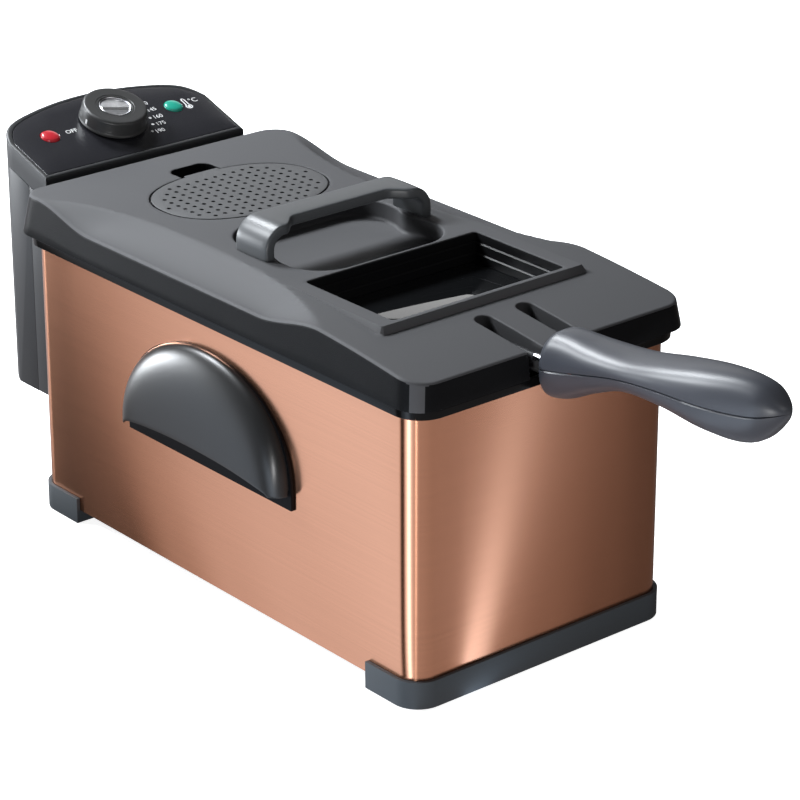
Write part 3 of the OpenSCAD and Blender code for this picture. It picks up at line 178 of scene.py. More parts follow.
# name, place in m, width and height in m, watts, colour
LIGHTS = (
    ("Left low bank", (-1.02, 2.0, 0.20), (0.45, 0.34), 32, COOL),
    ("Rear left bank", (-1.0, 1.45, 1.55), (0.5, 0.5), 46, COOL),
    ("Rear top bank", (0.05, 1.5, 1.75), (0.5, 0.5), 50, COOL),
    ("Right bank", (1.35, 1.6, 0.95), (0.9, 0.5), 2.5, NEUTRAL),
    ("Corner bank", (-1.56, -1.38, 0.12), (0.25, 0.2), 14, NEUTRAL),
    ("Front bank", (0.3, -1.6, 1.2), (1.0, 0.6), 4, NEUTRAL),
)


# ---------------------------------------------------------------- mesh tools
def in_frame(points):
    """Points in mm, measured from the housing's middle, as metres in the frame."""
    p = np.array(points, float).reshape(-1, 3) * MM
    p[:, 1] += SHIFT * MM
    return p


def inside(points, loop):
    """True for each 2-D point inside a closed loop: a ray to its right crosses an odd number of sides."""
    a, b = loop, np.roll(loop, -1, 0)
    x, y = points[:, :1], points[:, 1:2]
    spans = (a[:, 1] > y) != (b[:, 1] > y)
    rise = np.where(b[:, 1] == a[:, 1], 1e-12, b[:, 1] - a[:, 1])
    cross = (b[:, 0] - a[:, 0]) * (y - a[:, 1]) / rise + a[:, 0]
    return (spans & (x < cross)).sum(1) % 2 == 1


def tidy_loop(loop):
    """A loop without points that repeat the one before them."""
    keep = np.linalg.norm(loop - np.roll(loop, 1, 0), axis=1) > 1e-4
    return loop[keep]


class Surface:
    """Collects points in mm and faces, and turns them into one closed mesh object."""

    def __init__(self):
        self.points, self.faces, self.count = [], [], 0

    def add(self, points, faces):
        """Points and faces; the faces count from the first of these points."""
        points = np.asarray(points, float).reshape(-1, 3)
        self.points.append(points)
        self.faces += [[int(i) + self.count for i in f] for f in faces]
        self.count += len(points)

    def strip(self, rows):
        """Quads between rows of points; each row's last point is joined to its first."""
        rows = np.asarray(rows, float)
        r, n = rows.shape[:2]
        i, j = np.meshgrid(np.arange(r - 1), np.arange(n), indexing="ij")
        k = (j + 1) % n
        quads = np.stack([i * n + j, i * n + k, (i + 1) * n + k, (i + 1) * n + j], -1).reshape(-1, 4)
        self.add(rows.reshape(-1, 3), quads)

    def cap(self, loop):
        """One flat face on a loop."""
        loop = np.asarray(loop, float)
        self.add(loop, [range(len(loop))])

    def solid(self, rows):
        """A closed body: quads between the rows, and a flat face on the first and the last one."""
        self.strip(rows)
        self.cap(rows[0])
        self.cap(rows[-1])

    def ring(self, rows):
        """A closed tube: the last row joins the first one."""
        self.strip(np.concatenate([rows, rows[:1]]))

    def patch(self, outline, holes, height, step=0.0, lines=()):
        """A triangulated sheet inside outline and outside holes, lifted by height(x, y).

        Outline, holes and lines stay as edges. A square grid of points fills the rest."""
        loops = [tidy_loop(np.asarray(loop, float)[:, :2]) for loop in [outline, *holes]]
        extra = [tidy_loop(np.asarray(loop, float)[:, :2]) for loop in lines]
        points, edges, at = [], [], 0

        def in_sheet(flat):
            keep = inside(flat, loops[0])
            for hole in loops[1:]:
                keep &= ~inside(flat, hole)
            return keep

        for loop in loops + extra:
            n = len(loop)
            points.append(loop)
            edges += [(at + k, at + (k + 1) % n) for k in range(n)]
            at += n
        if step:
            lo, hi = loops[0].min(0), loops[0].max(0)
            gx, gy = np.meshgrid(*(np.arange(lo[k] + step / 2, hi[k], step) for k in (0, 1)))
            grid = np.c_[gx.ravel(), gy.ravel()]
            grid = grid[in_sheet(grid)]
            edge_points = np.concatenate(points)
            far = np.ones(len(grid), bool)
            for k in range(0, len(edge_points), 200):
                d = np.linalg.norm(grid[:, None] - edge_points[None, k:k + 200], axis=2).min(1)
                far &= d > 0.55 * step
            points.append(grid[far])
        flat = np.concatenate(points)
        out = delaunay_2d_cdt([Vector(p) for p in flat.tolist()], edges, [], 0, 1e-5)
        v = np.array([tuple(p) for p in out[0]])
        f = np.array(out[2])
        self.add(np.c_[v, height(v[:, 0], v[:, 1])], f[in_sheet(v[f].mean(1))])

    def make(self, name, angle=SMOOTH_ANGLE):
        """One object of all the faces: points closer than MERGE are joined and the normals face outwards."""
        mesh = bpy.data.meshes.new(name)
        mesh.from_pydata(in_frame(np.concatenate(self.points)).tolist(), [], self.faces)
        bm = bmesh.new()
        bm.from_mesh(mesh)
        bmesh.ops.remove_doubles(bm, verts=bm.verts, dist=MERGE)
        bmesh.ops.recalc_face_normals(bm, faces=bm.faces)
        if bm.calc_volume(signed=True) < 0:
            bmesh.ops.reverse_faces(bm, faces=bm.faces)
        bm.to_mesh(mesh)
        bm.free()
        return finish_mesh(name, mesh, angle)


def finish_mesh(name, mesh, angle=SMOOTH_ANGLE):
    """An object at the origin that shows the mesh smooth except at edges sharper than angle."""
    mesh.polygons.foreach_set("use_smooth", np.ones(len(mesh.polygons), bool))
    mesh.set_sharp_from_angle(angle=angle)
    obj = bpy.data.objects.new(name, mesh)
    bpy.context.scene.collection.objects.link(obj)
    return obj


def place(obj, look, body, nodes=()):
    """Gives a finished piece its material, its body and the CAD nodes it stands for."""
    obj.data.materials.clear()
    obj.data.materials.append(bpy.data.materials[look])
    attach(obj, body)
    if nodes:
        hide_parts(*nodes)
    return obj


def circle(count):
    """Points evenly round a circle of radius 1, the first one on the x axis."""
    a = np.linspace(0, 2 * math.pi, count, endpoint=False)
    return np.c_[np.cos(a), np.sin(a)]


def rounded_loop(half_x, half_y, r, turns=10, along_x=6, along_y=10):
    """Points and outward normals round a rounded rectangle, counter-clockwise.

    Each corner is a quarter circle in turns steps, and each side has evenly spaced points between
    its corners. Loops with the same counts match point for point."""
    cx, cy = half_x - r, half_y - r
    middles = np.array([(cx, cy), (-cx, cy), (-cx, -cy), (cx, -cy)])
    points, normals = [], []
    for k, middle in enumerate(middles):
        a = np.radians(90 * k + np.linspace(0, 90, turns + 1))
        n = np.c_[np.cos(a), np.sin(a)]
        corner = middle + r * n
        start, end = corner[-1], middles[(k + 1) % 4] + r * n[-1]
        count = along_x if k % 2 == 0 else along_y
        t = np.linspace(0, 1, count + 2)[1:-1, None]
        points += [corner, start + (end - start) * t]
        normals += [n, np.repeat(n[-1:], count, 0)]
    return np.concatenate(points), np.concatenate(normals)


def grown(shape, **counts):
    """A function that gives a rounded rectangle's loop grown by an amount."""
    loop, normals = rounded_loop(*shape, **counts)
    return lambda grow: loop + normals * grow


def level(loop, z):
    """A 2-D loop as 3-D points at one height, or at a height for each point."""
    return np.c_[loop, np.broadcast_to(z, len(loop))]


def arc(r, steps):
    """Offsets of a quarter round: (inwards, downwards) pairs from the flat side to the upright side.

    At each angle they are r times (1 - sine) and r times (1 - cosine)."""
    a = np.radians(np.linspace(0, 90, steps + 1))
    return np.c_[r * (1 - np.sin(a)), r * (1 - np.cos(a))]


def stack(loop_at, pairs):
    """Level rows of a loop, from (grow, height) pairs; loop_at(grow) is the loop grown by an amount."""
    return [level(loop_at(grow), z) for grow, z in pairs]


def loop_normals(loop):
    """Outward normals of a counter-clockwise loop, from the mean direction of the two sides at each point."""
    d = np.roll(loop, -1, 0) - np.roll(loop, 1, 0)
    n = np.c_[d[:, 1], -d[:, 0]]
    return n / np.maximum(np.linalg.norm(n, axis=1), 1e-9)[:, None]


def flat_at(z):
    """A height function for a level sheet."""
    return lambda x, y: np.full(len(x), z)


def lathe(profile, steps):
    """Rows of a turned body about Z: one circle for each (radius, height) pair."""
    round_ = circle(steps)
    return np.stack([np.c_[r * round_, np.full(steps, h)] for r, h in np.asarray(profile, float)])


def tube_rows(path, r, sides, closed=False):
    """Rings of a round tube along a path.

    Each ring stands across the path's direction, and its frame is that of the ring before it with
    the part along the new direction taken out."""
    path = np.asarray(path, float)
    if closed:
        d = np.roll(path, -1, 0) - np.roll(path, 1, 0)
    else:
        d = np.gradient(path, axis=0)
    d /= np.linalg.norm(d, axis=1)[:, None]
    side = np.cross(d[0], [0, 0, 1.0])
    if np.linalg.norm(side) < 0.1:
        side = np.cross(d[0], [0, 1.0, 0])
    rows, section = [], circle(sides)
    for p, t in zip(path, d):
        side = side - t * (side @ t)
        side /= np.linalg.norm(side)
        up = np.cross(t, side)
        rows.append(p + r * (section[:, :1] * side + section[:, 1:] * up))
    return np.stack(rows)


def on_panel(points, x=0.0, up=0.0):
    """Points across, up and out of the panel from the dial's middle, turned by TILT into the part."""
    p = np.array(points, float).reshape(-1, 3) + [x, up, 0]
    c, s = math.cos(TILT), math.sin(TILT)
    z0 = PANEL_Z + (DIAL_Y - UNIT_Y) * math.tan(TILT)
    return np.c_[p[:, 0], DIAL_Y + p[:, 1] * c - p[:, 2] * s, z0 + p[:, 1] * s + p[:, 2] * c]


# ---------------------------------------------------------------- materials
def texture_group(name, inputs):
    """A new shader node group: (name, kind, default) sockets in, and Height, Tone and Gloss out."""
    group = bpy.data.node_groups.new(name, "ShaderNodeTree")
    for label, kind, default in inputs:
        s = group.interface.new_socket(label, in_out="INPUT", socket_type="NodeSocket" + kind)
        s.default_value = default
    for label in ("Height", "Tone", "Gloss"):
        group.interface.new_socket(label, in_out="OUTPUT", socket_type="NodeSocketFloat")
    return Nodes(group), group.nodes.new("NodeGroupInput").outputs, group.nodes.new("NodeGroupOutput").inputs


class Nodes:
    """Short calls for adding and linking nodes in one tree."""

    def __init__(self, tree):
        self.tree = tree

    def set(self, socket, value):
        """Links an output to a socket, or stores a constant in it."""
        if isinstance(value, bpy.types.NodeSocket):
            self.tree.links.new(value, socket)
        else:
            socket.default_value = value

    def new(self, kind, links=None, **settings):
        """A shader node with its settings, and its sockets linked or set."""
        n = self.tree.nodes.new("ShaderNode" + kind)
        for k, v in settings.items():
            setattr(n, k, v)
        for socket, value in (links or {}).items():
            self.set(n.inputs[socket], value)
        return n

    def math(self, operation, a, b):
        """One sum of two values."""
        return self.new("Math", {0: a, 1: b}, operation=operation).outputs[0]

    def blend(self, a, share_a, b, share_b):
        """a times its share plus b times its share."""
        return self.math("ADD", self.math("MULTIPLY", a, share_a), self.math("MULTIPLY", b, share_b))

    def vector(self, operation, vector, socket, value):
        """One sum on a vector, with one more socket set."""
        return self.new("VectorMath", {0: vector, socket: value}, operation=operation).outputs[0]

    def noise(self, vector, scale, detail, roughness=0.5):
        """Fractal noise from 0 to 1."""
        links = {"Vector": vector, "Scale": scale, "Detail": detail, "Roughness": roughness}
        return self.new("TexNoise", links).outputs["Fac"]

    def fit(self, value, low, high, out_low=0.0, out_high=1.0):
        """The range low to high moved to the range out_low to out_high, and held at its ends."""
        return self.new("MapRange", {0: value, 1: low, 2: high, 3: out_low, 4: out_high}).outputs[0]

    def mix(self, factor, a, b, blend="MIX"):
        """Colour a at factor 0 and b at factor 1, or the two multiplied."""
        n = self.tree.nodes.new("ShaderNodeMix")
        n.data_type, n.blend_type = "RGBA", blend
        for i, v in ((0, factor), (6, a), (7, b)):
            self.set(n.inputs[i], v)
        return n.outputs[2]


def grain_group():
    """Fine moulded texture: cells of about 0.6 mm and smaller noise, with a slow change of tone and gloss."""
    n, gin, out = texture_group("Moulded grain", [
        ("Vector", "Vector", (0, 0, 0)), ("Size", "Float", 1.0), ("Dust", "Float", 0.0)])
    v = n.vector("SCALE", gin["Vector"], "Scale", gin["Size"])
    cell = n.new("TexVoronoi", {"Vector": v, "Scale": 1700.0, "Randomness": 1.0}, feature="SMOOTH_F1")
    fine = n.noise(v, 2600.0, 1.0)
    n.set(out["Height"], n.blend(cell.outputs["Distance"], 0.8, fine, 0.5))
    slow = n.noise(gin["Vector"], 9.0, 3.0)
    mid = n.noise(gin["Vector"], 140.0, 2.0)
    n.set(out["Tone"], n.fit(n.blend(slow, 0.6, fine, 0.4), 0.35, 0.65))
    n.set(out["Gloss"], n.fit(n.math("ADD", slow, n.math("MULTIPLY", mid, gin["Dust"])), 0.3, 0.9))


def brushed_group():
    """Brushed metal: noise drawn out along the horizontal and very fine upright, in two sizes of line."""
    n, gin, out = texture_group("Brushed lines", [
        ("Vector", "Vector", (0, 0, 0)), ("Across", "Vector", (9, 9, 2600)), ("Contrast", "Float", 1.0)])
    v = n.vector("MULTIPLY", gin["Vector"], 1, gin["Across"])
    fine = n.noise(v, 1.0, 3.0, 0.7)
    broad = n.noise(n.vector("SCALE", v, "Scale", 0.23), 1.0, 2.0, 0.6)
    slow = n.noise(gin["Vector"], 6.0, 2.0)
    lines = n.blend(fine, 0.7, broad, 0.3)
    n.set(out["Height"], lines)
    n.set(out["Tone"], n.fit(n.blend(lines, gin["Contrast"], slow, 0.35), 0.45, 1.0))
    n.set(out["Gloss"], n.fit(n.math("ADD", fine, slow), 0.6, 1.4))


def shade(colour, factor):
    """A colour times a factor."""
    return tuple(c * factor for c in colour[:3]) + (1.0,)


def start_material(name):
    """A new material with a Principled shader and object coordinates."""
    mat = bpy.data.materials.new(name)
    mat.use_nodes = True
    mat.node_tree.nodes.clear()
    n = Nodes(mat.node_tree)
    shader = n.new("BsdfPrincipled")
    n.new("OutputMaterial", {0: shader.outputs[0]})
    coords = n.new("TexCoord").outputs["Object"]
    return mat, n, shader.inputs, coords


def textured(name, group, settings, colour, rough, depth, spread):
    """A material whose tone, gloss and bump come from a texture group.

    Its colour goes from (1 - spread) to (1 + spread) times the given one."""
    _, n, shader, coords = start_material(name)
    g = n.new("Group")
    g.node_tree = bpy.data.node_groups[group]
    n.set(g.inputs["Vector"], coords)
    for label, value in settings.items():
        n.set(g.inputs[label], value)
    dark, pale = shade(colour, 1 - spread), shade(colour, 1 + spread)
    n.set(shader["Base Color"], n.mix(g.outputs["Tone"], dark, pale))
    n.set(shader["Roughness"], n.fit(g.outputs["Gloss"], 0, 1, *rough))
    bump = n.new("Bump", {"Height": g.outputs["Height"], "Distance": depth, "Strength": 1.0})
    n.set(shader["Normal"], bump.outputs[0])
    return n, shader


def plastic(name, colour, rough, grain, depth, dust=0.15, spread=0.12, specular=0.5):
    """Moulded plastic with a fine grain, a slow change of tone and a gloss that varies."""
    settings = {"Size": grain, "Dust": dust}
    n, shader = textured(name, "Moulded grain", settings, colour, rough, depth, spread)
    n.set(shader["Specular IOR Level"], specular)


def metal(name, colour, rough, across, depth=0.00001, contrast=1.0, spread=0.1, stretch=0.0):
    """Metal with drawn-out brush lines; stretch spreads its gloss across the lines."""
    settings = {"Across": across, "Contrast": contrast}
    n, shader = textured(name, "Brushed lines", settings, colour, rough, depth, spread)
    n.set(shader["Metallic"], 1.0)
    if stretch:
        n.set(shader["Anisotropic"], stretch)
        n.set(shader["Anisotropic Rotation"], 0.25)
        n.set(shader["Tangent"], n.new("Tangent", direction_type="RADIAL", axis="Z").outputs[0])


def clear(name, colour, rough, transmission, ior, glow=0.0):
    """Glass or clear plastic with faint smears in its gloss."""
    _, n, shader, coords = start_material(name)
    smear = n.noise(coords, 30.0, 4.0)
    n.set(shader["Roughness"], n.fit(smear, 0.4, 0.8, rough, rough + 0.05))
    n.set(shader["Base Color"], n.mix(smear, shade(colour, 0.92), shade(colour, 1.08)))
    n.set(shader["Transmission Weight"], transmission)
    n.set(shader["IOR"], ior)
    if glow:
        n.set(shader["Emission Color"], colour)
        n.set(shader["Emission Strength"], glow)


# ---------------------------------------------------------------- shapes shared by the lid's pieces
def smooth_step(t):
    """0 below t = 0, 1 above t = 1, and between them three t squared less two t cubed."""
    u = np.clip(t, 0, 1)
    return u * u * (3 - 2 * u)


def deck(y):
    """Height of the lid's top along its middle.

    It is level between DECK_REAR and DECK_FRONT. With s the share of the way to the end, it falls
    in front by the drop times (0.25 s + 0.75 s squared) and at the rear by the drop times s squared."""
    half = LID[1]
    front = np.clip((DECK_FRONT - y) / (half + DECK_FRONT), 0, None)
    rear = np.clip((y - DECK_REAR) / (half - DECK_REAR), 0, None)
    fall = DECK_FRONT_DROP * (0.25 * front + 0.75 * front * front)
    return LID_TOP - fall * (y < DECK_FRONT) - DECK_REAR_DROP * rear**2


def lid_height(x, y):
    """Height of the lid: the deck, less a hollow along each side that ends at the crest.

    With t the distance from the hollow's middle as a share of half its length, the hollow starts
    at HOLLOW_X and its start moves out to the crest with t to the power 2.6. With u the share of the
    way from there to the crest, its depth is the full depth times (1 - (1 - u) to the power 1.6), and
    it fades out smoothly over the last 0.42 of t."""
    t = np.abs(y - HOLLOW_Y) / HOLLOW_HALF
    start = np.minimum(CREST_X, HOLLOW_X + (CREST_X - HOLLOW_X) * t**2.6)
    u = np.clip((np.abs(x) - start) / np.maximum(0.01, CREST_X - start), 0, 1)
    depth = HOLLOW_DEPTH * smooth_step((1 - t) / 0.42)
    return deck(y) - depth * (1 - (1 - u) ** 1.6)


def frame_height(distance):
    """Height of the window frame's bevel at a distance outside its flat top: it falls in a straight line."""
    return LID_TOP - WIN_SLOPE * distance


def top_height(x, y):
    """The lid's upper surface: the higher one of the deck and the window frame's bevel."""
    y0, y1, half = WIN_FRAME
    dx = np.clip(np.abs(x) - half, 0, None)
    dy = np.clip(np.maximum(y0 - y, y - y1), 0, None)
    return np.maximum(lid_height(x, y), frame_height(np.hypot(dx, dy)))


def superellipse(half_x, half_y, power, grow, angle):
    """Distance from the middle to a superellipse, grown by an amount, at each angle.

    With c and s the sizes of cosine and sine and p the power, it is ((c / half_x) to the power p plus
    (s / half_y) to the power p) to the power -1 / p."""
    a, b = half_x + grow, half_y + grow
    c, s = np.abs(np.cos(angle)), np.abs(np.sin(angle))
    return ((c / a) ** power + (s / b) ** power) ** (-1 / power)


def reach_of_box(angle, cx, half_w, y0, y1, r):
    """Distance from the origin to the far side of a rounded box at each angle, or 0 where the ray misses it.

    Steps along each ray test the box's signed distance: outside distance plus inside distance less r."""
    t = np.linspace(0, 90, 4001)[None, :]
    x, y = t * np.cos(angle)[:, None], t * np.sin(angle)[:, None]
    cy, half_h = (y0 + y1) / 2, (y1 - y0) / 2
    qx = np.abs(x - cx) - (half_w - r)
    qy = np.abs(y - cy) - (half_h - r)
    d = np.hypot(np.clip(qx, 0, None), np.clip(qy, 0, None)) + np.minimum(np.maximum(qx, qy), 0) - r
    return np.where(d < 0, t, 0).max(1)


# even steps all round, and finer ones where the box behind the cover begins and ends
COVER_ANGLES = np.unique(np.concatenate([
    np.linspace(0, 2 * math.pi, 220, endpoint=False), np.radians(np.linspace(50, 125, 130))]))


def cover_loop(grow, box):
    """Outline of the filter cover grown by an amount, joined with a rounded box behind it."""
    a = COVER_ANGLES
    r = np.maximum(superellipse(*COVER_HALF, COVER_POWER, grow, a), reach_of_box(a, *box))
    return np.c_[COVER_X + r * np.cos(a), COVER_Y + r * np.sin(a)]


def hole_edge(loop_at, z_top, radius, z_low, steps):
    """Rows from a pocket's rounded upper edge down its wall."""
    return stack(loop_at, [(i, z_top - d) for i, d in arc(radius, steps)] + [(0.0, z_low)])


def dish_loop(grow):
    """Outline of the hand hollow: a rounded rectangle, narrower where the strap's legs land.

    There it moves in by 4.5 mm times e to the power -(y / 10 mm) squared."""
    loop, normals = rounded_loop(*DISH, turns=14, along_x=20, along_y=26)
    pinch = np.exp(-((loop[:, 1]) / 10.0) ** 2) * 4.5
    loop = loop + normals * grow
    loop[:, 0] -= np.sign(loop[:, 0]) * pinch * (np.abs(loop[:, 0]) > 45)
    return loop + [0, DISH_Y]


def window_loop(grow):
    """Outline of the window, a rounded rectangle grown by an amount."""
    return grown(WIN, turns=5, along_x=40, along_y=24)(grow) + [0, WIN_Y]


def slot_outline(cx):
    """Rows of lid_outline along one slot: rounded corner, side, half-round end, other side and corner.

    Corners of radius 1 and the end of radius NOTCH_HALF are points at even angles round their middles."""
    front, end, w = -LID[1], NOTCH_END - NOTCH_HALF, LID_WALL

    def unit(degrees):
        return np.c_[np.cos(np.radians(degrees)), np.sin(np.radians(degrees))]

    def rows(points, lean, normal, radius, inner):
        n = np.ones((len(points), 1))
        return np.hstack([points, lean * n, normal * n, radius * n, inner * n, LID_Z * n])

    def corner(x, out, degrees):
        n = unit(degrees)
        return rows([x + out, front + 1] + n, (0, -1), n, 1.0, (x + w * out, front + w))

    def side(x, out, y):
        edge, wall = np.full(len(y), x), np.full(len(y), x + w * out)
        return rows(np.c_[edge, y], (0, 0), (-out, 0), 0.9, np.c_[wall, np.maximum(y, front + w)])

    d = unit(np.linspace(180, 0, 15)[1:-1])
    half_round = rows([cx, end] + NOTCH_HALF * d, (0, 0), -d, 0.9, [cx, end] + (NOTCH_HALF + w) * d)
    x0, x1, mouth = cx - NOTCH_HALF, cx + NOTCH_HALF, front + 4
    return np.concatenate([
        corner(x0, -1, (-90, -60, -30, 0)), side(x0, -1, np.linspace(mouth, end, NOTCH_STEPS)), half_round,
        side(x1, 1, np.linspace(end, mouth, NOTCH_STEPS)), corner(x1, 1, (180, 210, 240, 270))])


def lid_outline():
    """The lid's plan outline, a rounded rectangle with two slots for the handle wires in its front edge.

    Its columns are: place at the lower edge, how it moves in as the lid narrows, outward normal, edge
    radius, inner wall point and height of the lower edge."""
    hx, hy, r = LID
    loop, normals = rounded_loop(hx, hy, r, turns=12, along_x=56, along_y=110)
    lean = np.clip(loop / [hx - r, hy - r], -1, 1)
    even = np.ones(len(loop))
    rows = np.c_[loop, lean, normals, 2.4 * even, loop - LID_WALL * normals, LID_Z * even]
    at_front = np.flatnonzero(loop[:, 1] < -hy + 1e-6)
    front = rows[at_front]
    x, margin = front[:, 0], NOTCH_HALF + 1.5
    rows = np.concatenate([
        rows[:at_front[0]], front[x < -NOTCH_X - margin], slot_outline(-NOTCH_X),
        front[np.abs(x) < NOTCH_X - margin], slot_outline(NOTCH_X), front[x > NOTCH_X + margin],
        rows[at_front[-1] + 1:]])
    # the lower edge steps up over the heater's bracket at the rear
    for edge, heights in ((REAR_CUT_X, (LID_Z, REAR_CUT_Z)), (-REAR_CUT_X, (REAR_CUT_Z, LID_Z))):
        k = np.flatnonzero((rows[:, 1] > hy - 1e-6) & (rows[:, 0] <= edge))[0]
        step = np.repeat(rows[k:k + 1], 2, 0)
        step[:, [0, 7]], step[:, 9] = edge, heights
        rows = np.insert(rows, k, step, axis=0)
    rear = (rows[:, 1] > hy - 1e-6) & (np.abs(rows[:, 0]) < REAR_CUT_X)
    rows[rear, 9] = REAR_CUT_Z
    return rows


def lid_walls():
    """Rows of the lid's moulding: its rounded upper edge, the outside, the lower edge and the inside.

    The outline moves in by LID_DRAFT over the lid's rise. The upper edge is a quarter round; four
    rounds of the loop bring it onto the height of the deck just inside."""
    o = lid_outline()
    low, lean, normal, radius, inner, z_low = o[:, 0:2], o[:, 2:4], o[:, 4:6], o[:, 6], o[:, 7:9], o[:, 9]

    def at(z):
        return low - lean * (LID_DRAFT * (z - LID_Z) / LID_RISE)[:, None]

    z = np.full(len(o), 212.0)  # a first guess
    for _ in range(4):
        p = at(z - radius)
        q = p - normal * radius[:, None]
        z = lid_height(q[:, 0], q[:, 1])
    p = at(z - radius)
    rows = []
    for k in np.radians(np.linspace(0, 90, 7)):
        rows.append(level(p - normal * (radius * (1 - math.sin(k)))[:, None], z - radius * (1 - math.cos(k))))
    for down in (0.25, 0.5, 0.75):
        wall_z = (z - radius) * (1 - down) + (z_low + 0.6) * down
        rows.append(level(at(wall_z), wall_z))
    for up, inwards in ((0.6, 0.0), (0.15, 0.15), (0.0, 0.6)):
        rows.append(level(at(z_low + up) - normal * inwards, z_low + up))
    return rows + [level(inner, z_low), level(inner, CEILING)]


def frame_foot(loop, normals):
    """Where the window frame's bevel meets the deck outside a loop, by halving the distance 30 times."""
    lo, hi = np.zeros(len(loop)), np.full(len(loop), 8.0)
    for _ in range(30):
        mid = (lo + hi) / 2
        q = loop + normals * mid[:, None]
        above = frame_height(mid) > lid_height(q[:, 0], q[:, 1]) + 1e-6
        lo, hi = np.where(above, mid, lo), np.where(above, hi, mid)
    return loop + normals * np.maximum(lo, 0.02)[:, None]


def build_lid():
    """The lid: its walls, three pockets from above, the top between them and the ceiling inside.

    The pockets' walls follow cover_loop, dish_loop and window_loop, and the top follows top_height."""
    rows = lid_walls()
    s = Surface()
    s.strip(rows)

    dish_rows = hole_edge(dish_loop, LID_TOP, DISH_EDGE, DISH_FLOOR + DISH_CORNER, 5)
    dish_rows += stack(dish_loop, [(-i, DISH_FLOOR + d) for i, d in arc(DISH_CORNER, 4)[::-1][1:]])
    rim = cover_loop(1.0, RECESS)
    rim_n = loop_normals(rim)
    edge = rim + rim_n * POCKET_EDGE
    edge_z = lid_height(edge[:, 0], edge[:, 1])
    filter_rows = [level(rim + rim_n * i, edge_z - d) for i, d in arc(POCKET_EDGE, 3)]
    seat = LID_TOP - COVER_T
    inner_rim = cover_loop(-2.5, RECESS)
    filter_rows += [level(rim, seat), level(inner_rim, seat), level(inner_rim, POCKET_FLOOR)]
    for pocket in (dish_rows, filter_rows):
        s.strip(pocket)
        s.cap(pocket[-1])
    win_rows = hole_edge(window_loop, LID_TOP, 0.7, 214.0, 3) + stack(window_loop, WIN_STEPS)
    s.strip(win_rows)

    y0, y1, half = WIN_FRAME
    loop, normals = rounded_loop(half, (y1 - y0) / 2, 1.5, turns=3, along_x=60, along_y=36)
    loop = loop + [0, (y0 + y1) / 2]
    s.patch(rows[0], [dish_rows[0], filter_rows[0], win_rows[0]], top_height, step=2.2,
            lines=[loop, frame_foot(loop, normals)])
    s.patch(rows[-1], [win_rows[-1]], flat_at(CEILING))
    return s.make("lid_body", angle=math.radians(28))


def paint_shade(obj, test, look="well_plastic"):
    """Gives the faces that pass the test a darker material: painted shade.

    The test gets their middles in mm and the sizes of their normals' parts."""
    mesh = obj.data
    mesh.materials.append(bpy.data.materials[look])
    mid, out = np.zeros((2, len(mesh.polygons) * 3))
    mesh.polygons.foreach_get("center", mid)
    mesh.polygons.foreach_get("normal", out)
    mid = mid.reshape(-1, 3) / MM - [0, SHIFT, 0]
    index = np.zeros(len(mesh.polygons), np.int32)
    mesh.polygons.foreach_get("material_index", index)
    index[test(*mid.T, np.abs(out.reshape(-1, 3)))] = len(mesh.materials) - 1
    mesh.polygons.foreach_set("material_index", index)


def on_skirt(x, y, z, normal):
    """True on the lid's upright outer walls, but not on its rounded corners; shade is painted on these faces.
    """
    outer = (np.abs(x) > SKIRT_X) | (y < SKIRT_FRONT) | (y > SKIRT_REAR)
    return outer & (normal[:, :2].max(axis=1) > UPRIGHT)


def in_pockets(x, y, z, normal):
    """True on the walls and floors of the window's well and of the filter's pocket, where shade is painted.
    """
    hx, hy, _ = WIN
    well = (np.abs(x) < hx + 0.05) & (np.abs(y - WIN_Y) < hy + 0.05)
    u, v = np.abs(x - COVER_X) / (COVER_HALF[0] + 1.2), np.abs(y - COVER_Y) / (COVER_HALF[1] + 1.2)
    pocket = u**COVER_POWER + v**COVER_POWER < 1
    recess = (np.abs(x - TAB_X) < RECESS[1] + 0.2) & (y > COVER_Y + 20) & (y < COVER_Y + RECESS[3] + 0.5)
    return (well | pocket | recess) & (z < LID_TOP - POCKET_EDGE - 0.02) & (z > CEILING - 0.5)


def build_filter_cover():
    """The cover: a plate with chamfered through holes on a square grid, and a tab to lift it by.

    A hole is kept where its middle lies inside a superellipse 5 mm smaller than the cover."""
    s = Surface()
    loop = cover_loop(0.0, TAB)
    n = loop_normals(loop)
    low = LID_TOP - COVER_T
    outer = [level(loop - n * a, LID_TOP - d) for a, d in arc(0.5, 3)]
    outer += [level(loop, low + 0.2), level(loop - n * 0.2, low)]
    s.strip(outer)
    top_holes, low_holes = [], []
    pitch, hole = size("hole_pitch"), size("hole_radius")
    steps = ((hole + HOLE_CHAMFER, LID_TOP), (hole, LID_TOP - HOLE_CHAMFER), (hole, LID_TOP - 0.8),
             (hole, low))
    for i in range(-9, 9):
        for j in range(-6, 7):
            x, y = (i + 0.5) * pitch, HOLE_SHIFT + j * pitch
            if abs(x / (COVER_HALF[0] - 5)) ** COVER_POWER + abs(y / (COVER_HALF[1] - 5)) ** COVER_POWER < 1:
                middle = np.array([COVER_X + x, COVER_Y + y])
                rows = stack(lambda r: middle + circle(16) * r, steps)
                s.strip(rows)
                top_holes.append(rows[0])
                low_holes.append(rows[-1])
    s.patch(outer[0], top_holes, flat_at(LID_TOP), step=SHEET_STEP)
    s.patch(outer[-1], low_holes, flat_at(low), step=SHEET_STEP)
    return s.make("filter_plate", angle=math.radians(25))


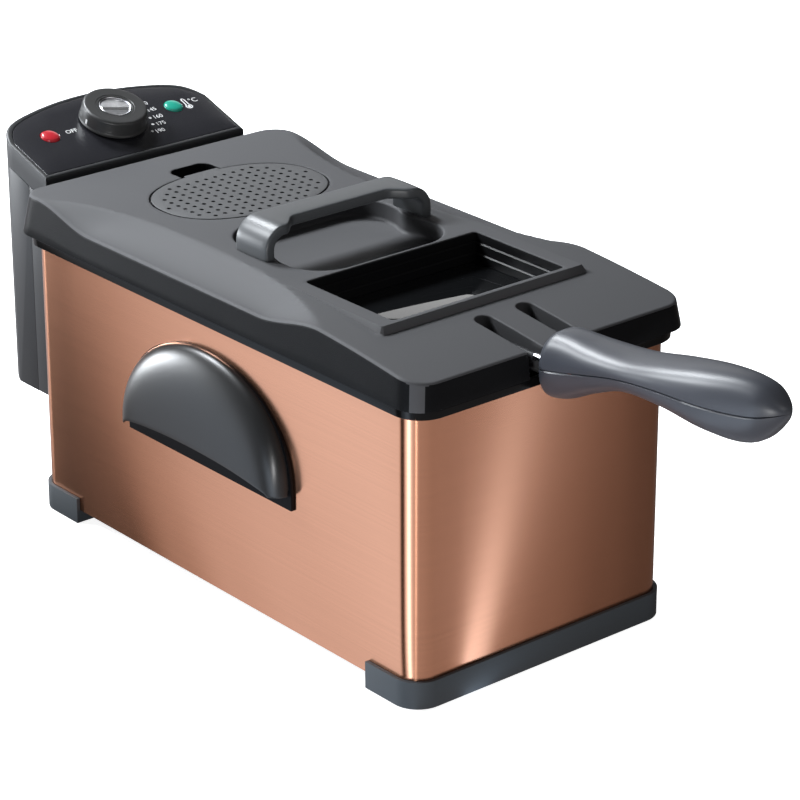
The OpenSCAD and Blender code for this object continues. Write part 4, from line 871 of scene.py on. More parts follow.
def build_strap():
    """The lid handle: a rounded band that rises, bends over in quarter circles and comes down.

    Its width goes smoothly from that of the middle to that of the legs over STRAP_TAPER, and its
    outer face falls by 0.35 mm times the square of the place across the band, a share of its half."""
    thick, wide, middle = size("strap_thickness"), size("strap_width"), size("strap_middle")
    r = STRAP_R - thick / 2
    x = STRAP_HALF - thick / 2
    top = LID_TOP + size("strap_height") - thick / 2
    a = np.radians(np.linspace(0, 90, 13))
    leg = np.c_[np.full(4, x), np.linspace(LID_TOP, top - r, 5)[:-1]]
    bend_n = np.c_[np.cos(a), np.sin(a)]
    bend = np.c_[x - r + r * bend_n[:, 0], top - r + r * bend_n[:, 1]]
    flat_x = np.linspace(x - r, 0, 24)[1:]
    flat = np.c_[flat_x, np.full(len(flat_x), top)]
    path = np.concatenate([leg, bend, flat])
    norm = np.concatenate([np.tile([1.0, 0.0], (4, 1)), bend_n, np.tile([0.0, 1.0], (len(flat), 1))])
    path, norm = (np.concatenate([k, k[-2::-1] * [-1, 1]]) for k in (path, norm))
    begin, reach = STRAP_TAPER
    width = middle + (wide - middle) * smooth_step((np.abs(path[:, 0]) - begin) / reach)
    rows = []
    for p, n, w in zip(path, norm, width):
        section, _ = rounded_loop(thick / 2, w / 2, 1.8, turns=5, along_x=1, along_y=6)
        y = STRAP_Y - w / 2 + section[:, 1]
        crown = 0.35 * (1 - (2 * section[:, 1] / w) ** 2) * (section[:, 0] > 0) - 0.35 * (section[:, 0] > 0)
        t = section[:, 0] + crown
        rows.append(np.c_[p[0] + n[0] * t, y, p[1] + n[1] * t])
    s = Surface()
    s.solid(rows)
    return s.make("lid_strap", angle=math.radians(40))


# ---------------------------------------------------------------- grip
def grip_value(t, column):
    """Cubic through the grip's rows at a share t of its length.

    At each row its slope is that between the rows on both sides; between two rows it is the cubic
    with their values and slopes."""
    x, v = GRIP_ROWS[:, 0], GRIP_ROWS[:, column]
    slope = np.r_[(v[1] - v[0]) / (x[1] - x[0]), (v[2:] - v[:-2]) / (x[2:] - x[:-2]),
                  (v[-1] - v[-2]) / (x[-1] - x[-2])]
    i = np.clip(np.searchsorted(x, t, side="right") - 1, 0, len(x) - 2)
    h = x[i + 1] - x[i]
    u = (t - x[i]) / h
    return (v[i] * (2 * u**3 - 3 * u**2 + 1) + v[i + 1] * (3 * u**2 - 2 * u**3)
            + slope[i] * h * (u**3 - 2 * u**2 + u) + slope[i + 1] * h * (u**3 - u**2))


def round_end(d, r, low):
    """Share of the full section at a distance d from an end: 1 beyond r, a quarter ellipse down to low."""
    inner = np.clip((r - d) / r, 0, 1)
    return np.where(d >= r, 1.0, low + (1 - low) * np.sqrt(np.clip(1 - inner**2, 0, 1)))


def build_grip_half(upper):
    """Half of the basket grip, cut at the seam along its sides, with a small gap there.

    Each section is a superellipse: cosine and sine to the power 0.8, times the half width and height
    from grip_value and the rounding of both ends."""
    head = np.array([0, 0.004, 0.009, 0.016, 0.025, 0.034])
    t = np.concatenate([head, np.linspace(0.05, 0.9, 44), 1 - 0.1 * np.linspace(0.92, 0, 16) ** 2])
    k = round_end((1 - t) * GRIP_L, 16.0, 0.04) * round_end(t * GRIP_L, 6.0, 0.82)
    a = np.radians(np.linspace(1.2, 178.8, 41))
    if not upper:
        a = a + math.pi
    px, pz = (np.sign(v) * np.abs(v) ** 0.8 for v in (np.cos(a), np.sin(a)))
    gap = 0.12 if upper else -0.12
    rows = []
    for ti, ki in zip(t, k):
        x = GRIP_HEAD[0] * grip_value(ti, 1) * ki
        z = GRIP_HEAD[1] * grip_value(ti, 2) * ki
        y = GRIP_START - ti * GRIP_L
        z0 = WIRE_Z + grip_value(ti, 3)
        step = min(0.7, 0.3 * x)
        first, last = ([end * x - np.sign(end) * step, y, z0 + gap * ki] for end in (px[0], px[-1]))
        ring = np.c_[px * x, np.full(len(a), y), z0 + pz * z]
        rows.append(np.concatenate([[first], ring, [last]]))
    s = Surface()
    s.solid(rows)
    return s.make("grip_top" if upper else "grip_under", angle=math.radians(42))


# ---------------------------------------------------------------- housing, pot and basket
def build_sleeve():
    """The housing: a rounded rectangle of 1 mm sheet drawn upwards, with its two edges rounded off."""
    low, top = HOUSE_LOW, HOUSE_TOP
    s = Surface()
    s.ring(np.array(stack(grown(HOUSE, turns=16), (
        (0, low + 0.3), (0, top - 0.3), (-0.3, top), (-0.7, top),
        (-1, top - 0.3), (-1, low + 0.3), (-0.7, low), (-0.3, low)))))
    return s.make("housing_sleeve")


def build_pot():
    """Enamelled pot: rounded rim bead, flange, walls and a floor with a quarter-round corner of 9 mm."""
    rim, pot = grown(RIM, turns=14), grown(POT, turns=14)
    bead, wall = arc(size("pot_bead"), 5), 1.2
    corner = arc(9.0, 6)
    rows = stack(rim, [
        (-0.4, HOUSE_TOP), (0, HOUSE_TOP + 0.4), *[(-i, RIM_TOP - d) for i, d in bead[::-1]],
        *[(-3 + i, RIM_TOP - d) for i, d in bead], (-3.0, HOUSE_TOP + 2.2), (-4.0, HOUSE_TOP + 1.2)])
    rows += stack(pot, [
        (-wall + 1.5, HOUSE_TOP + 1.2), (-wall + 0.5, HOUSE_TOP + 0.8), (-wall, HOUSE_TOP - 0.4),
        *[(-wall - i, POT_FLOOR + wall + d) for i, d in corner[::-1]]])
    outer = stack(pot, [*[(-i, POT_FLOOR + d) for i, d in corner], (0, HOUSE_TOP)])
    s = Surface()
    s.strip(rows)
    s.cap(rows[-1])
    s.strip([*outer, rows[0]])
    s.cap(outer[0])
    return s.make("pot_enamelled")


def build_basket():
    """Wire basket: bent wires across and along, and level wires round its walls, all as one mesh.

    Each bent wire has quarter-round corners, and its half length is that of the rounded rectangle
    there: the straight part plus the root of (corner radius squared less the way past it squared)."""
    hx, hy, r = BASKET
    pitch, wire = size("basket_pitch"), size("basket_wire")
    s = Surface()

    def hairpin(at, side, half):
        """Half the wire's way across and up, and its mirror image: rows of across and up."""
        bend, over = 8.0, max(0.0, abs(at) - (side - r))
        half = half - r + math.sqrt(max(0.0, r * r - over * over)) - wire
        a = np.radians(np.linspace(-90, 0, 5))
        corner = np.c_[half - bend + bend * np.cos(a), bend + bend * np.sin(a)]
        corner = np.concatenate([[[0.0, 0.0]], corner, [[half, BASKET_TOP - BASKET_Z + 1.5]]])
        return np.concatenate([corner[::-1] * [-1, 1], corner[1:]]).T

    for y in np.arange(-hy + 4, hy - 3, pitch):
        along, up = hairpin(y, hy, hx)
        path = np.c_[along, np.full(len(along), BASKET_Y + y), BASKET_Z + wire + up]
        s.solid(tube_rows(path, wire, 5))
    for x in np.arange(-hx + 4.8, hx - 3, pitch):
        along, up = hairpin(x, hx, hy)
        path = np.c_[np.full(len(along), x), BASKET_Y + along, BASKET_Z + 3 * wire + up * 0.985]
        s.solid(tube_rows(path, wire, 5))
    loop, n = rounded_loop(hx, hy, r, turns=6, along_x=1, along_y=1)
    for z in np.arange(BASKET_Z + 10, BASKET_TOP, pitch):
        s.ring(tube_rows(level(loop - n * (wire + 0.3) + [0, BASKET_Y], z), wire, 5, closed=True))
    return s.make("basket_wire_mesh")


def build_basket_frame():
    """The basket's rim wire: a round tube along a rounded rectangle."""
    loop, _ = rounded_loop(*(k - 0.8 for k in BASKET), turns=10, along_x=3, along_y=5)
    s = Surface()
    s.ring(tube_rows(level(loop + [0, BASKET_Y], BASKET_TOP + 2.5), size("frame_wire"), 14, closed=True))
    return s.make("basket_frame_wire")


def build_handle_wires():
    """Two round wires, each with a post: up, over in a quarter circle of 10 mm and out into the grip."""
    s = Surface()
    y0, bend, post_y, post_z = -165.0, 10.0, -181.0, 186.6
    a = np.radians(np.linspace(0, 90, 10))
    for x in (-WIRE_X, WIRE_X):
        up = [[x, y0, z] for z in (169.2, 176.0, 184.0, 190.0)]
        turn = [[x, y0 - bend + bend * math.cos(k), WIRE_Z - bend + bend * math.sin(k)] for k in a]
        out = [[x, y, WIRE_Z] for y in np.linspace(y0 - bend, GRIP_START - 28, 6)[1:]]
        s.solid(tube_rows(up + turn + out, size("handle_wire"), 20))
        post = lathe([(2.0, 0), (2.0, WIRE_Z - post_z - 0.4)], 20)
        s.solid(post + [x, post_y, post_z])
    return s.make("handle_wire_pair")


# ---------------------------------------------------------------- side handles
def build_side_handle(mirror):
    """Half-moon cup: a domed shell over the backing plate, with a raised finger lip and a rounded lower edge.

    With s the place along the handle as a share of its half length, the arch's height is the full
    height times (1 - s squared) to the power 0.43. With u the share of that height, the shell stands out
    by the full depth times (1 - 0.06 s squared) times the root of ((1 - u to the power 2.2) times
    (1 - s to the power 12)). The lower lip is a flat half ellipse of height LIP."""
    wall, lip_half = size("cup_wall"), SIDE_L - 7

    def depth(y, z, half, height, out):
        rim = np.maximum(height * np.clip(1 - (y / half) ** 2, 0, 1) ** ARCH_POWER, 0.01)
        up = np.clip(z / rim, 0, 1)
        ends = np.clip(1 - (np.abs(y) / half) ** 12, 0, 1)
        return out * (1 - 0.06 * (y / half) ** 2) * np.sqrt(np.clip(1 - up**2.2, 0, 1) * ends)

    def side(c, half, height, out):
        """One upright line of points up the shell, and the height it starts at."""
        y = c * half
        top = height * (1 - c * c) ** ARCH_POWER
        lip = LIP * math.sqrt(max(0.0, 1 - (y / lip_half) ** 2)) if abs(y) < lip_half else 0.0
        lip = min(lip, top * 0.9)
        z = lip + (top - lip) * v
        return np.c_[depth(np.full_like(z, y), z, half, height, out), np.full_like(z, y), z], lip

    v = np.sin(np.linspace(0, 1, 26) * math.pi / 2)
    rows = []
    for c in np.sin(np.linspace(-1, 1, 61) * math.pi / 2) * 0.9992:
        outer, lip = side(c, SIDE_L, SIDE_H, SIDE_OUT - 0.02)
        x0, y = outer[0, :2]
        outer[0, 2] = lip + 0.9
        outer[1:, 2] = np.maximum(outer[1:, 2], lip + 1.0)
        inner, _ = side(c, SIDE_L - wall, SIDE_H - wall, SIDE_OUT - wall)
        rows.append(np.concatenate([outer[::-1], [[x0 - 0.25, y, lip + 0.2], [x0 - 0.9, y, lip]], inner]))
    rows = np.array(rows)
    points = np.stack([-(HOUSE[0] + 2 + rows[..., 0]), SIDE_Y + rows[..., 1], SIDE_Z + rows[..., 2]], -1)
    if mirror:
        points[..., 0] *= -1
    s = Surface()
    s.solid(points)
    return s.make("right_handle_cup" if mirror else "left_handle_cup", angle=math.radians(44))


# ---------------------------------------------------------------- control unit
def unit_loop(grow):
    """Plan outline of the control unit, bowed at the rear, grown by an amount.

    With u the place across as a share of the half width, the rear lies at the full length less
    the bow times u squared, less the rest of the way to the side's end times u to the power UNIT_POWER."""
    hx = UNIT_X + grow
    u = np.sin(np.radians(np.linspace(90, -90, 150)))
    bow = UNIT_L - UNIT_ARC * u**2 - (UNIT_L - UNIT_SIDE - UNIT_ARC) * np.abs(u) ** UNIT_POWER
    rear = np.c_[u * hx, UNIT_Y + bow + grow]
    y0 = UNIT_Y - grow
    right = np.c_[np.full(9, hx), np.linspace(y0, rear[0, 1], 10)[:-1]]
    left = np.c_[np.full(9, -hx), np.linspace(rear[-1, 1], y0, 10)[1:]]
    front = np.c_[np.linspace(-hx, hx, 42)[1:-1], np.full(40, y0)]
    return np.concatenate([right, rear, left, front])


def slope_at(drop):
    """The height function of the panel's plane, lowered by drop: it rises with y by the tangent of TILT."""
    return lambda x, y: PANEL_Z + (y - UNIT_Y) * math.tan(TILT) - drop


def panel_circle(x, r):
    """A circle on the tilted panel, seen from above."""
    return on_panel(level(r * circle(40), 0.0), x)[:, :2]


def sloping(rows):
    """Loops as 3-D rows on the panel's plane, from (loop, drop) pairs."""
    return [np.c_[loop, slope_at(drop)(*loop.T)] for loop, drop in rows]


def sloping_sheets(s, sheets, hole_steps):
    """Two sheets on the panel's plane, joined by the walls of the panel's holes.

    sheets has (outline, drop) for the upper and the lower one, hole_steps has (grow, drop) down a wall."""
    walls = [sloping([(panel_circle(x, r + grow), drop) for grow, drop in hole_steps])
             for x, r in PANEL_HOLES]
    for rows in walls:
        s.strip(rows)
    for (outline, drop), end in zip(sheets, (0, -1)):
        s.patch(outline, [rows[end] for rows in walls], slope_at(drop), step=SHEET_STEP)


def build_cap():
    """Cap of the control unit: soft outer edge, narrow frame and a sunk seat for the panel.

    Its rows are unit_loop grown by negative amounts, on planes parallel to the panel."""
    s = Surface()
    outer = sloping([*((unit_loop(-i), d) for i, d in arc(1.3, 5)),
                     (unit_loop(0), 9.0), (unit_loop(0), 16.6), (unit_loop(-0.4), 17.0)])
    rim = sloping([(unit_loop(-3.0 + i), d) for i, d in arc(0.4, 2)])
    seat = sloping([(unit_loop(-3.0), PANEL_T)])[0]
    wall = sloping([(unit_loop(-3.4), 17.0), (unit_loop(-3.4), 4.0)])
    for rows in (outer, [outer[0], rim[0]], [*rim, seat], [outer[-1], *wall]):
        s.strip(rows)
    sloping_sheets(s, ((seat, PANEL_T), (wall[-1], 4.0)), ((0, PANEL_T), (0, 4.0)))
    return s.make("control_cap_shell", angle=math.radians(30))


def build_panel():
    """The panel: a plate inside the cap's frame, its edges rounded and its holes chamfered by 0.35 mm."""
    s = Surface()
    outer = sloping([*((unit_loop(-3.2 - i), d) for i, d in arc(0.35, 3)), (unit_loop(-3.2), PANEL_T)])
    s.strip(outer)
    sloping_sheets(s, ((outer[0], 0.0), (outer[-1], PANEL_T)), ((0.35, 0.0), (0, 0.35), (0, PANEL_T)))
    return s.make("control_fascia", angle=math.radians(25))


def build_dial():
    """Turned knob: a skirt, a quarter-round shoulder, a slightly dished face and a pocket for the insert."""
    a = np.radians(np.linspace(0, 90, 8))
    skirt = [(0.001, 6.7), (3.12, 6.7), (3.12, 1.3), (22.6, 1.3), (22.95, 1.65), (22.9, 2.4), (22.3, 3.0),
             (22.2, 3.4)]
    face = [(19.0, 12.6), (15.5, 12.4), (13.2, 12.4), (12.9, 12.1), (11.6, 12.1)]
    pocket = [(11.15, 11.7), (11.1, 8.75), (0.001, 8.75)]
    profile = [*skirt, *np.c_[20.0 + 1.9 * np.cos(a), 10.7 + 1.9 * np.sin(a)], *face, *pocket]
    s = Surface()
    s.solid([on_panel(r) for r in lathe(profile, 96)])
    return s.make("dial_body", angle=math.radians(38))


def build_insert():
    """Metal disc in the dial's face: a deep groove round it, and a low ridge straight across with fine ribs.

    With v the distance across the ridge, the ridge rises smoothly from v = -3.4 to v = -1.6 and falls
    by 0.095 of its height a mm to the far edge. The ribs on that side are a cosine of the way along it."""
    round_, lean = circle(120), math.radians(-21)

    def top(r, low=0.0):
        x, y = r * round_.T
        v = y * math.cos(lean) - x * math.sin(lean)
        u = x * math.cos(lean) + y * math.sin(lean)
        rise = smooth_step((v + 3.4) / 1.8) * (1.0 - 0.095 * np.clip(v + 1.6, 0, None))
        ribs = 0.05 * np.cos(u * 5.2) * (v > -1.6)
        return np.c_[x, y, 11.2 + 0.95 * rise + ribs - low]

    groove = ((10.7, 8.8), (10.7, 11.9), (10.5, 12.1), (10.3, 11.9), (10.2, 9.6), (9.7, 9.6))
    face = [top(9.5, 0.25), top(9.3), *map(top, np.linspace(9.0, 0.3, 30))]
    rows = stack(lambda r: r * round_, groove) + face
    s = Surface()
    s.solid([on_panel(r) for r in rows])
    return s.make("dial_metal_insert", angle=math.radians(24))


def build_pointer():
    """Small white tick up the dial's skirt, on the side of the off mark: a flat bar 1.6 mm wide."""
    face = np.array([(-22.15, 3.2), (-22.05, 6.6)])
    loop = np.concatenate([face - [0.12, 0.0], (face + [0.5, 0.0])[::-1]])
    s = Surface()
    s.solid([on_panel(np.c_[loop[:, 0], np.full(4, y), loop[:, 1]]) for y in (-0.8, 0.8)])
    return s.make("dial_pointer")


def build_lens(x, name):
    """A lens: a turned plug with a dome, 5.9 mm times the sine by 1.3 mm times the cosine."""
    a = np.radians(np.linspace(88, 2, 14))
    plug = [(0.001, -5.0), (6.3, -5.0), (6.45, -4.8), (6.45, 0.15), (6.3, 0.3), (6.0, 0.3)]
    profile = [*plug, *np.c_[5.9 * np.sin(a), 0.5 + 1.3 * np.cos(a)]]
    s = Surface()
    s.solid([on_panel(r, x) for r in lathe(profile, 48)])
    return s.make(name, angle=math.radians(40))


def text_on_panel(name, words, x, up, high, align="CENTER"):
    """A word or number printed on the panel: flat letters MARK_T thick."""
    curve = bpy.data.curves.new(name, "FONT")
    curve.body, curve.size, curve.align_x, curve.align_y = words, high, align, "CENTER"
    curve.extrude, curve.resolution_u = MARK_T / 2, 6
    temp = bpy.data.objects.new(name + "_curve", curve)
    mesh = bpy.data.meshes.new_from_object(temp)
    bpy.data.objects.remove(temp)
    co = np.zeros(len(mesh.vertices) * 3)
    mesh.vertices.foreach_get("co", co)
    s = Surface()
    s.add(on_panel(co.reshape(-1, 3) + [0, 0, MARK_T / 2], x, up), [p.vertices for p in mesh.polygons])
    return s.make(name)


def build_marks():
    """Round dots beside the numbers, and a thermometer: part of a circle and a stem, drawn as a line."""
    s = Surface()

    def disc(x, up, r):
        rows = lathe([(r, 0.0), (r, MARK_T)], 20) + [x, up, 0]
        s.solid([on_panel(k) for k in rows])

    for _, angle in MARKS:
        k = math.radians(angle)
        disc(DOT_RING * math.cos(k), DOT_RING * math.sin(k), 1.0)
    bulb_x, bulb_up, line = 60.5, -4.0, 0.45
    a = np.radians(np.linspace(-240, 60, 16))
    bulb = np.c_[np.cos(a) * 2.2 + bulb_x, bulb_up + np.sin(a) * 2.2]
    path = np.concatenate([bulb, [(61.6, 4.0), (61.3, 4.8), (60.5, 5.1), (59.7, 4.8), (59.4, 4.0)]])
    n = loop_normals(path)
    steps = ((line, 0.0), (line, MARK_T), (-line, MARK_T), (-line, 0.0))
    s.ring(np.array([on_panel(r) for r in stack(lambda grow: path + n * grow, steps)]))
    disc(bulb_x, bulb_up, 1.2)
    return s.make("printed_marks")


# ---------------------------------------------------------------- dressing CAD nodes
def dress(node, name, bevel):
    """A copy of a CAD node's mesh, its flat faces joined again and its sharp edges softened by bevel mm."""
    mesh = frame["nodes"][node].data.copy()
    mesh.name = name
    mesh.materials.clear()
    bm = bmesh.new()
    bm.from_mesh(mesh)
    bmesh.ops.remove_doubles(bm, verts=bm.verts, dist=DRESS_MERGE)
    bmesh.ops.dissolve_limit(bm, angle_limit=math.radians(1.0), verts=bm.verts, edges=bm.edges)
    bmesh.ops.recalc_face_normals(bm, faces=bm.faces)
    if bevel:
        sharp = [e for e in bm.edges if e.is_manifold and e.calc_face_angle(0) > SMOOTH_ANGLE]
        bmesh.ops.bevel(bm, geom=sharp, offset=bevel * MM, segments=2, profile=0.6, affect="EDGES",
                        clamp_overlap=True)
        bmesh.ops.remove_doubles(bm, verts=bm.verts, dist=1e-7)
    for layer in list(bm.loops.layers.uv):
        bm.loops.layers.uv.remove(layer)
    bm.to_mesh(mesh)
    bm.free()
    for label in ("sharp_edge", "custom_normal"):
        if label in mesh.attributes:
            mesh.attributes.remove(mesh.attributes[label])
    return finish_mesh(name, mesh)


def body_of(node):
    """The name of the body a CAD node belongs to."""
    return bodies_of(frame["nodes"][node])[0]


# node, piece name, edge softening in mm, material, slot
DRESSED = (
    ("base_plate", "base_pan", 0.4, "base_plastic", "base_plastic"),
    ("front_foot", "foot_bar_front", 0.9, "foot_plastic", "foot_plastic"),
    ("rear_foot", "foot_bar_rear", 0.9, "foot_plastic", "foot_plastic"),
    ("foot_pads", "rubber_pads", 0.5, "rubber", "pad_rubber"),
    ("base_screws", "screws_of_base", 0.2, "screw_steel", "screw_steel"),
    ("left_handle_plate", "left_back_plate", 0.4, "back_plastic", "handle_back_plastic"),
    ("right_handle_plate", "right_back_plate", 0.4, "back_plastic", "handle_back_plastic"),
    ("side_handle_screws", "screws_of_side_handles", 0.2, "screw_steel", "screw_steel"),
    ("rear_rails", "rails_behind", 0.4, "rail_plastic", "rail_plastic"),
    ("grip_screws", "screws_of_grip", 0.2, "screw_steel", "screw_steel"),
    ("lid_liner", "lid_inner_plate", 0.3, "aluminium", "liner_aluminium"),
    ("lid_handle_screws", "screws_of_strap", 0.2, "screw_steel", "screw_steel"),
    ("window_pane", "window_glass_pane", 0.3, "glass", "window_glass"),
    ("window_seal", "window_seal_ring", 0.3, "rubber", "seal_rubber"),
    ("window_clamp", "window_clamp_ring", 0.4, "clamp_plastic", "clamp_plastic"),
    ("filter_mat", "filter_felt_mat", 0.8, "felt", "filter_felt"),
    ("control_front_shell", "control_shell_front", 0.5, "unit_plastic", "control_plastic"),
    ("control_rear_shell", "control_shell_rear", 0.5, "unit_plastic", "control_plastic"),
    ("indicator_lamps", "lamp_bulbs", 0.6, "lamp_glass", "lamp_glass"),
    ("thermostat", "thermostat_can", 0.5, "zinc", "thermostat_steel"),
    ("terminal_block", "terminal_ceramic", 0.5, "ceramic", "terminal_plastic"),
    ("element_bracket", "heater_bracket", 0.25, "steel", "bracket_steel"),
    ("heating_element", "heater_tube", 0.0, "heater_steel", "heater_steel"),
    ("sensor_bulb", "sensor_tube", 0.0, "copper_tube", "bulb_copper"),
    ("cord_gland", "gland_sleeve", 0.5, "rubber", "gland_rubber"),
    ("safety_switch", "switch_case", 0.5, "clamp_plastic", "switch_plastic"),
    ("control_screws", "screws_of_control", 0.2, "screw_steel", "screw_steel"),
    ("dial_shaft", "dial_spindle", 0.3, "screw_steel", "shaft_steel"),
    ("reset_button", "reset_cap", 0.6, "reset_plastic", "reset_plastic"),
    ("switch_plunger", "plunger_pin", 0.3, "brass", "plunger_brass"),
)


# ---------------------------------------------------------------- sizes and colours to change in the panel
def length(name, value, text):
    """A panel size, given in mm."""
    return FloatProperty(name=name, description=text, default=value * MM, unit="LENGTH", min=0.0)


def tint(name, rgb, text):
    """A panel colour."""
    return FloatVectorProperty(name=name, description=text, default=rgb, subtype="COLOR", size=3,
                               min=0.0, max=1.0)


class FryerSizes(bpy.types.PropertyGroup):
    """Sizes of the drawn surfaces"""
    strap_height: length("Strap height", STRAP_H, "Height of the lid's strap above the lid")
    strap_thickness: length("Strap thickness", STRAP_T, "Thickness of the lid's strap")
    strap_width: length("Strap width", STRAP_W, "Width of the strap at its legs")
    strap_middle: length("Strap middle", STRAP_MID, "Width of the strap at its middle")
    hole_pitch: length("Hole pitch", HOLE_PITCH, "Distance between the steam holes")
    hole_radius: length("Hole radius", 1.4, "Radius of a steam hole")
    basket_pitch: length("Basket pitch", 6.0, "Distance between the basket's wires")
    basket_wire: length("Basket wire", 0.62, "Radius of a basket wire")
    frame_wire: length("Frame wire", 2.5, "Radius of the basket's rim wire")
    handle_wire: length("Handle wire", WIRE_R, "Radius of the two handle wires")
    pot_bead: length("Rim bead", 1.4, "Radius of the pot's rim edges")
    cup_wall: length("Cup wall", 2.6, "Wall of the side handles' cups")
    mark_height: length("Mark height", 5.2, "Height of the numbers round the dial")


def size(name):
    """A size from the panel, in mm."""
    return getattr(bpy.context.scene.fryer_sizes, name) / MM


class FryerColours(bpy.types.PropertyGroup):
    """Main colours"""
    copper: tint("Housing", (0.73, 0.355, 0.22), "Colour of the brushed housing")
    lid: tint("Lid", (0.010, 0.0103, 0.0113), "Colour of the lid's grained plastic")
    satin: tint("Handles", (0.0105, 0.0104, 0.0106), "Colour of the grip, strap and side handles")
    unit: tint("Control unit", (0.016, 0.017, 0.019), "Colour of the control unit's shells")
    panel: tint("Panel", (0.022, 0.022, 0.023), "Colour of the control panel")
    dial: tint("Dial", (0.010, 0.010, 0.011), "Colour of the dial")
    red: tint("Power lens", (0.55, 0.008, 0.012), "Colour of the lens that shows power")
    green: tint("Ready lens", (0.006, 0.24, 0.17), "Colour of the lens that shows the oil is hot")
    ink: tint("Marks", (0.86, 0.86, 0.86), "Colour of the printed marks")


class FryerStage(bpy.types.PropertyGroup):
    """Camera and surroundings"""
    lens: FloatProperty(name="Lens", description="Focal length of the camera", default=145.21, unit="CAMERA")
    world: FloatProperty(name="Surroundings", description="Strength of the white surroundings", default=0.08)


def colour_of(name):
    """A colour from the panel, with full alpha."""
    return tuple(getattr(bpy.context.scene.fryer_colours, name)) + (1.0,)


def make_materials():
    """Makes the shader groups and every material; the CAD's own unused ones are dropped first."""
    for mat in list(bpy.data.materials):
        if mat.users == 0:
            bpy.data.materials.remove(mat)
    grain_group()
    brushed_group()
    c = colour_of
    metal("copper", c("copper"), (0.15, 0.19), (7, 7, 3200), 0.0000025, 1.0, 0.07, stretch=0.95)
    plastic("lid_plastic", c("lid"), (0.29, 0.39), 1.0, 0.00007, spread=0.3, specular=0.24)
    # the lid's plastic darkened for its upright walls: painted shade
    plastic("side_plastic", shade(c("lid"), 0.6), (0.36, 0.46), 1.0, 0.00007, spread=0.3, specular=0.06)
    plastic("cover_plastic", (0.060, 0.061, 0.064, 1), (0.46, 0.58), 1.2, 0.00004)
    # near-black plastic for the lid's pocket walls and floors and the cover's holes and underside: painted
    # shade
    plastic("well_plastic", (0.006, 0.006, 0.007, 1), (0.42, 0.52), 1.2, 0.00003, specular=0.22)
    plastic("satin_plastic", c("satin"), (0.29, 0.36), 1.6, 0.000018, 0.1)
    plastic("strap_plastic", shade(c("satin"), 0.7), (0.34, 0.42), 1.6, 0.00003, 0.1, specular=0.04)
    plastic("grip_plastic", shade(c("satin"), 0.75), (0.42, 0.50), 1.8, 0.000014, 0.1, specular=0.07)
    plastic("unit_plastic", c("unit"), (0.42, 0.50), 1.5, 0.000015, 0.1)
    plastic("panel_plastic", c("panel"), (0.36, 0.46), 1.2, 0.00003, 0.1)
    plastic("dial_plastic", c("dial"), (0.28, 0.36), 1.8, 0.000012, 0.05)
    plastic("base_plastic", (0.02, 0.02, 0.022, 1), (0.5, 0.6), 1.0, 0.00005)
    plastic("foot_plastic", (0.011, 0.011, 0.0115, 1), (0.34, 0.44), 1.6, 0.00002, specular=0.3)
    plastic("back_plastic", (0.003, 0.003, 0.004, 1), (0.45, 0.55), 1.4, 0.00003, specular=0.08)
    # dark copy for the handle wires where they run in the lid's slots: painted shade
    plastic("burnt_steel", (0.02, 0.02, 0.022, 1), (0.45, 0.55), 1.4, 0.00001, specular=0.15)
    plastic("rail_plastic", (0.1, 0.1, 0.105, 1), (0.5, 0.6), 1.2, 0.00004)
    plastic("clamp_plastic", (0.016, 0.016, 0.017, 1), (0.45, 0.55), 1.2, 0.00004)
    plastic("rubber", (0.018, 0.018, 0.018, 1), (0.68, 0.8), 0.8, 0.00006, 0.3)
    plastic("enamel", (0.004, 0.004, 0.0042, 1), (0.08, 0.14), 0.25, 0.00001, 0.1, specular=0.16)
    plastic("felt", (0.035, 0.034, 0.032, 1), (0.9, 1.0), 0.5, 0.0003, 0.4, 0.2)
    plastic("ceramic", (0.72, 0.7, 0.62, 1), (0.3, 0.4), 1.0, 0.00002)
    plastic("reset_plastic", (0.5, 0.02, 0.015, 1), (0.3, 0.4), 1.5, 0.00001)
    plastic("ink", c("ink"), (0.4, 0.5), 2.0, 0.0, 0.1, 0.03)
    metal("steel", (0.72, 0.72, 0.73, 1), (0.2, 0.3), (400, 30, 400))
    metal("screw_steel", (0.66, 0.66, 0.68, 1), (0.22, 0.34), (900, 900, 900))
    metal("chrome", (0.82, 0.83, 0.85, 1), (0.06, 0.12), (300, 60, 300), 0.000002, 1.0, 0.04)
    metal("wire_chrome", (0.42, 0.43, 0.45, 1), (0.16, 0.24), (300, 60, 300), 0.000002, 1.0, 0.04)
    metal("mesh_steel", (0.7, 0.7, 0.72, 1), (0.15, 0.25), (200, 200, 200), 0.000002)
    metal("aluminium", (0.66, 0.67, 0.69, 1), (0.32, 0.42), (25, 1800, 25), 0.000008)
    metal("insert_metal", (0.86, 0.86, 0.88, 1), (0.26, 0.34), (600, 600, 600), 0.000003)
    metal("heater_steel", (0.22, 0.21, 0.21, 1), (0.35, 0.5), (300, 300, 300), 0.00001)
    metal("zinc", (0.6, 0.6, 0.58, 1), (0.4, 0.5), (500, 500, 500))
    metal("brass", (0.75, 0.56, 0.26, 1), (0.22, 0.32), (800, 800, 800))
    metal("copper_tube", (0.8, 0.42, 0.28, 1), (0.25, 0.35), (30, 500, 500))
    clear("glass", (0.03, 0.032, 0.035, 1), 0.02, 0.8, 1.5)
    clear("lamp_glass", (0.9, 0.8, 0.6, 1), 0.1, 0.6, 1.45)
    clear("red_plastic", c("red"), 0.08, 0.25, 1.49, glow=0.12)
    clear("green_plastic", c("green"), 0.08, 0.25, 1.49, glow=0.06)


# ---------------------------------------------------------------- operators
UNDOABLE = {"REGISTER", "UNDO"}


class FRYER_OT_materials(bpy.types.Operator):
    """Makes the shader groups and every material"""
    bl_idname = "fryer.materials"
    bl_label = "Materials"
    bl_options = UNDOABLE

    def execute(self, context):
        make_materials()
        return {"FINISHED"}


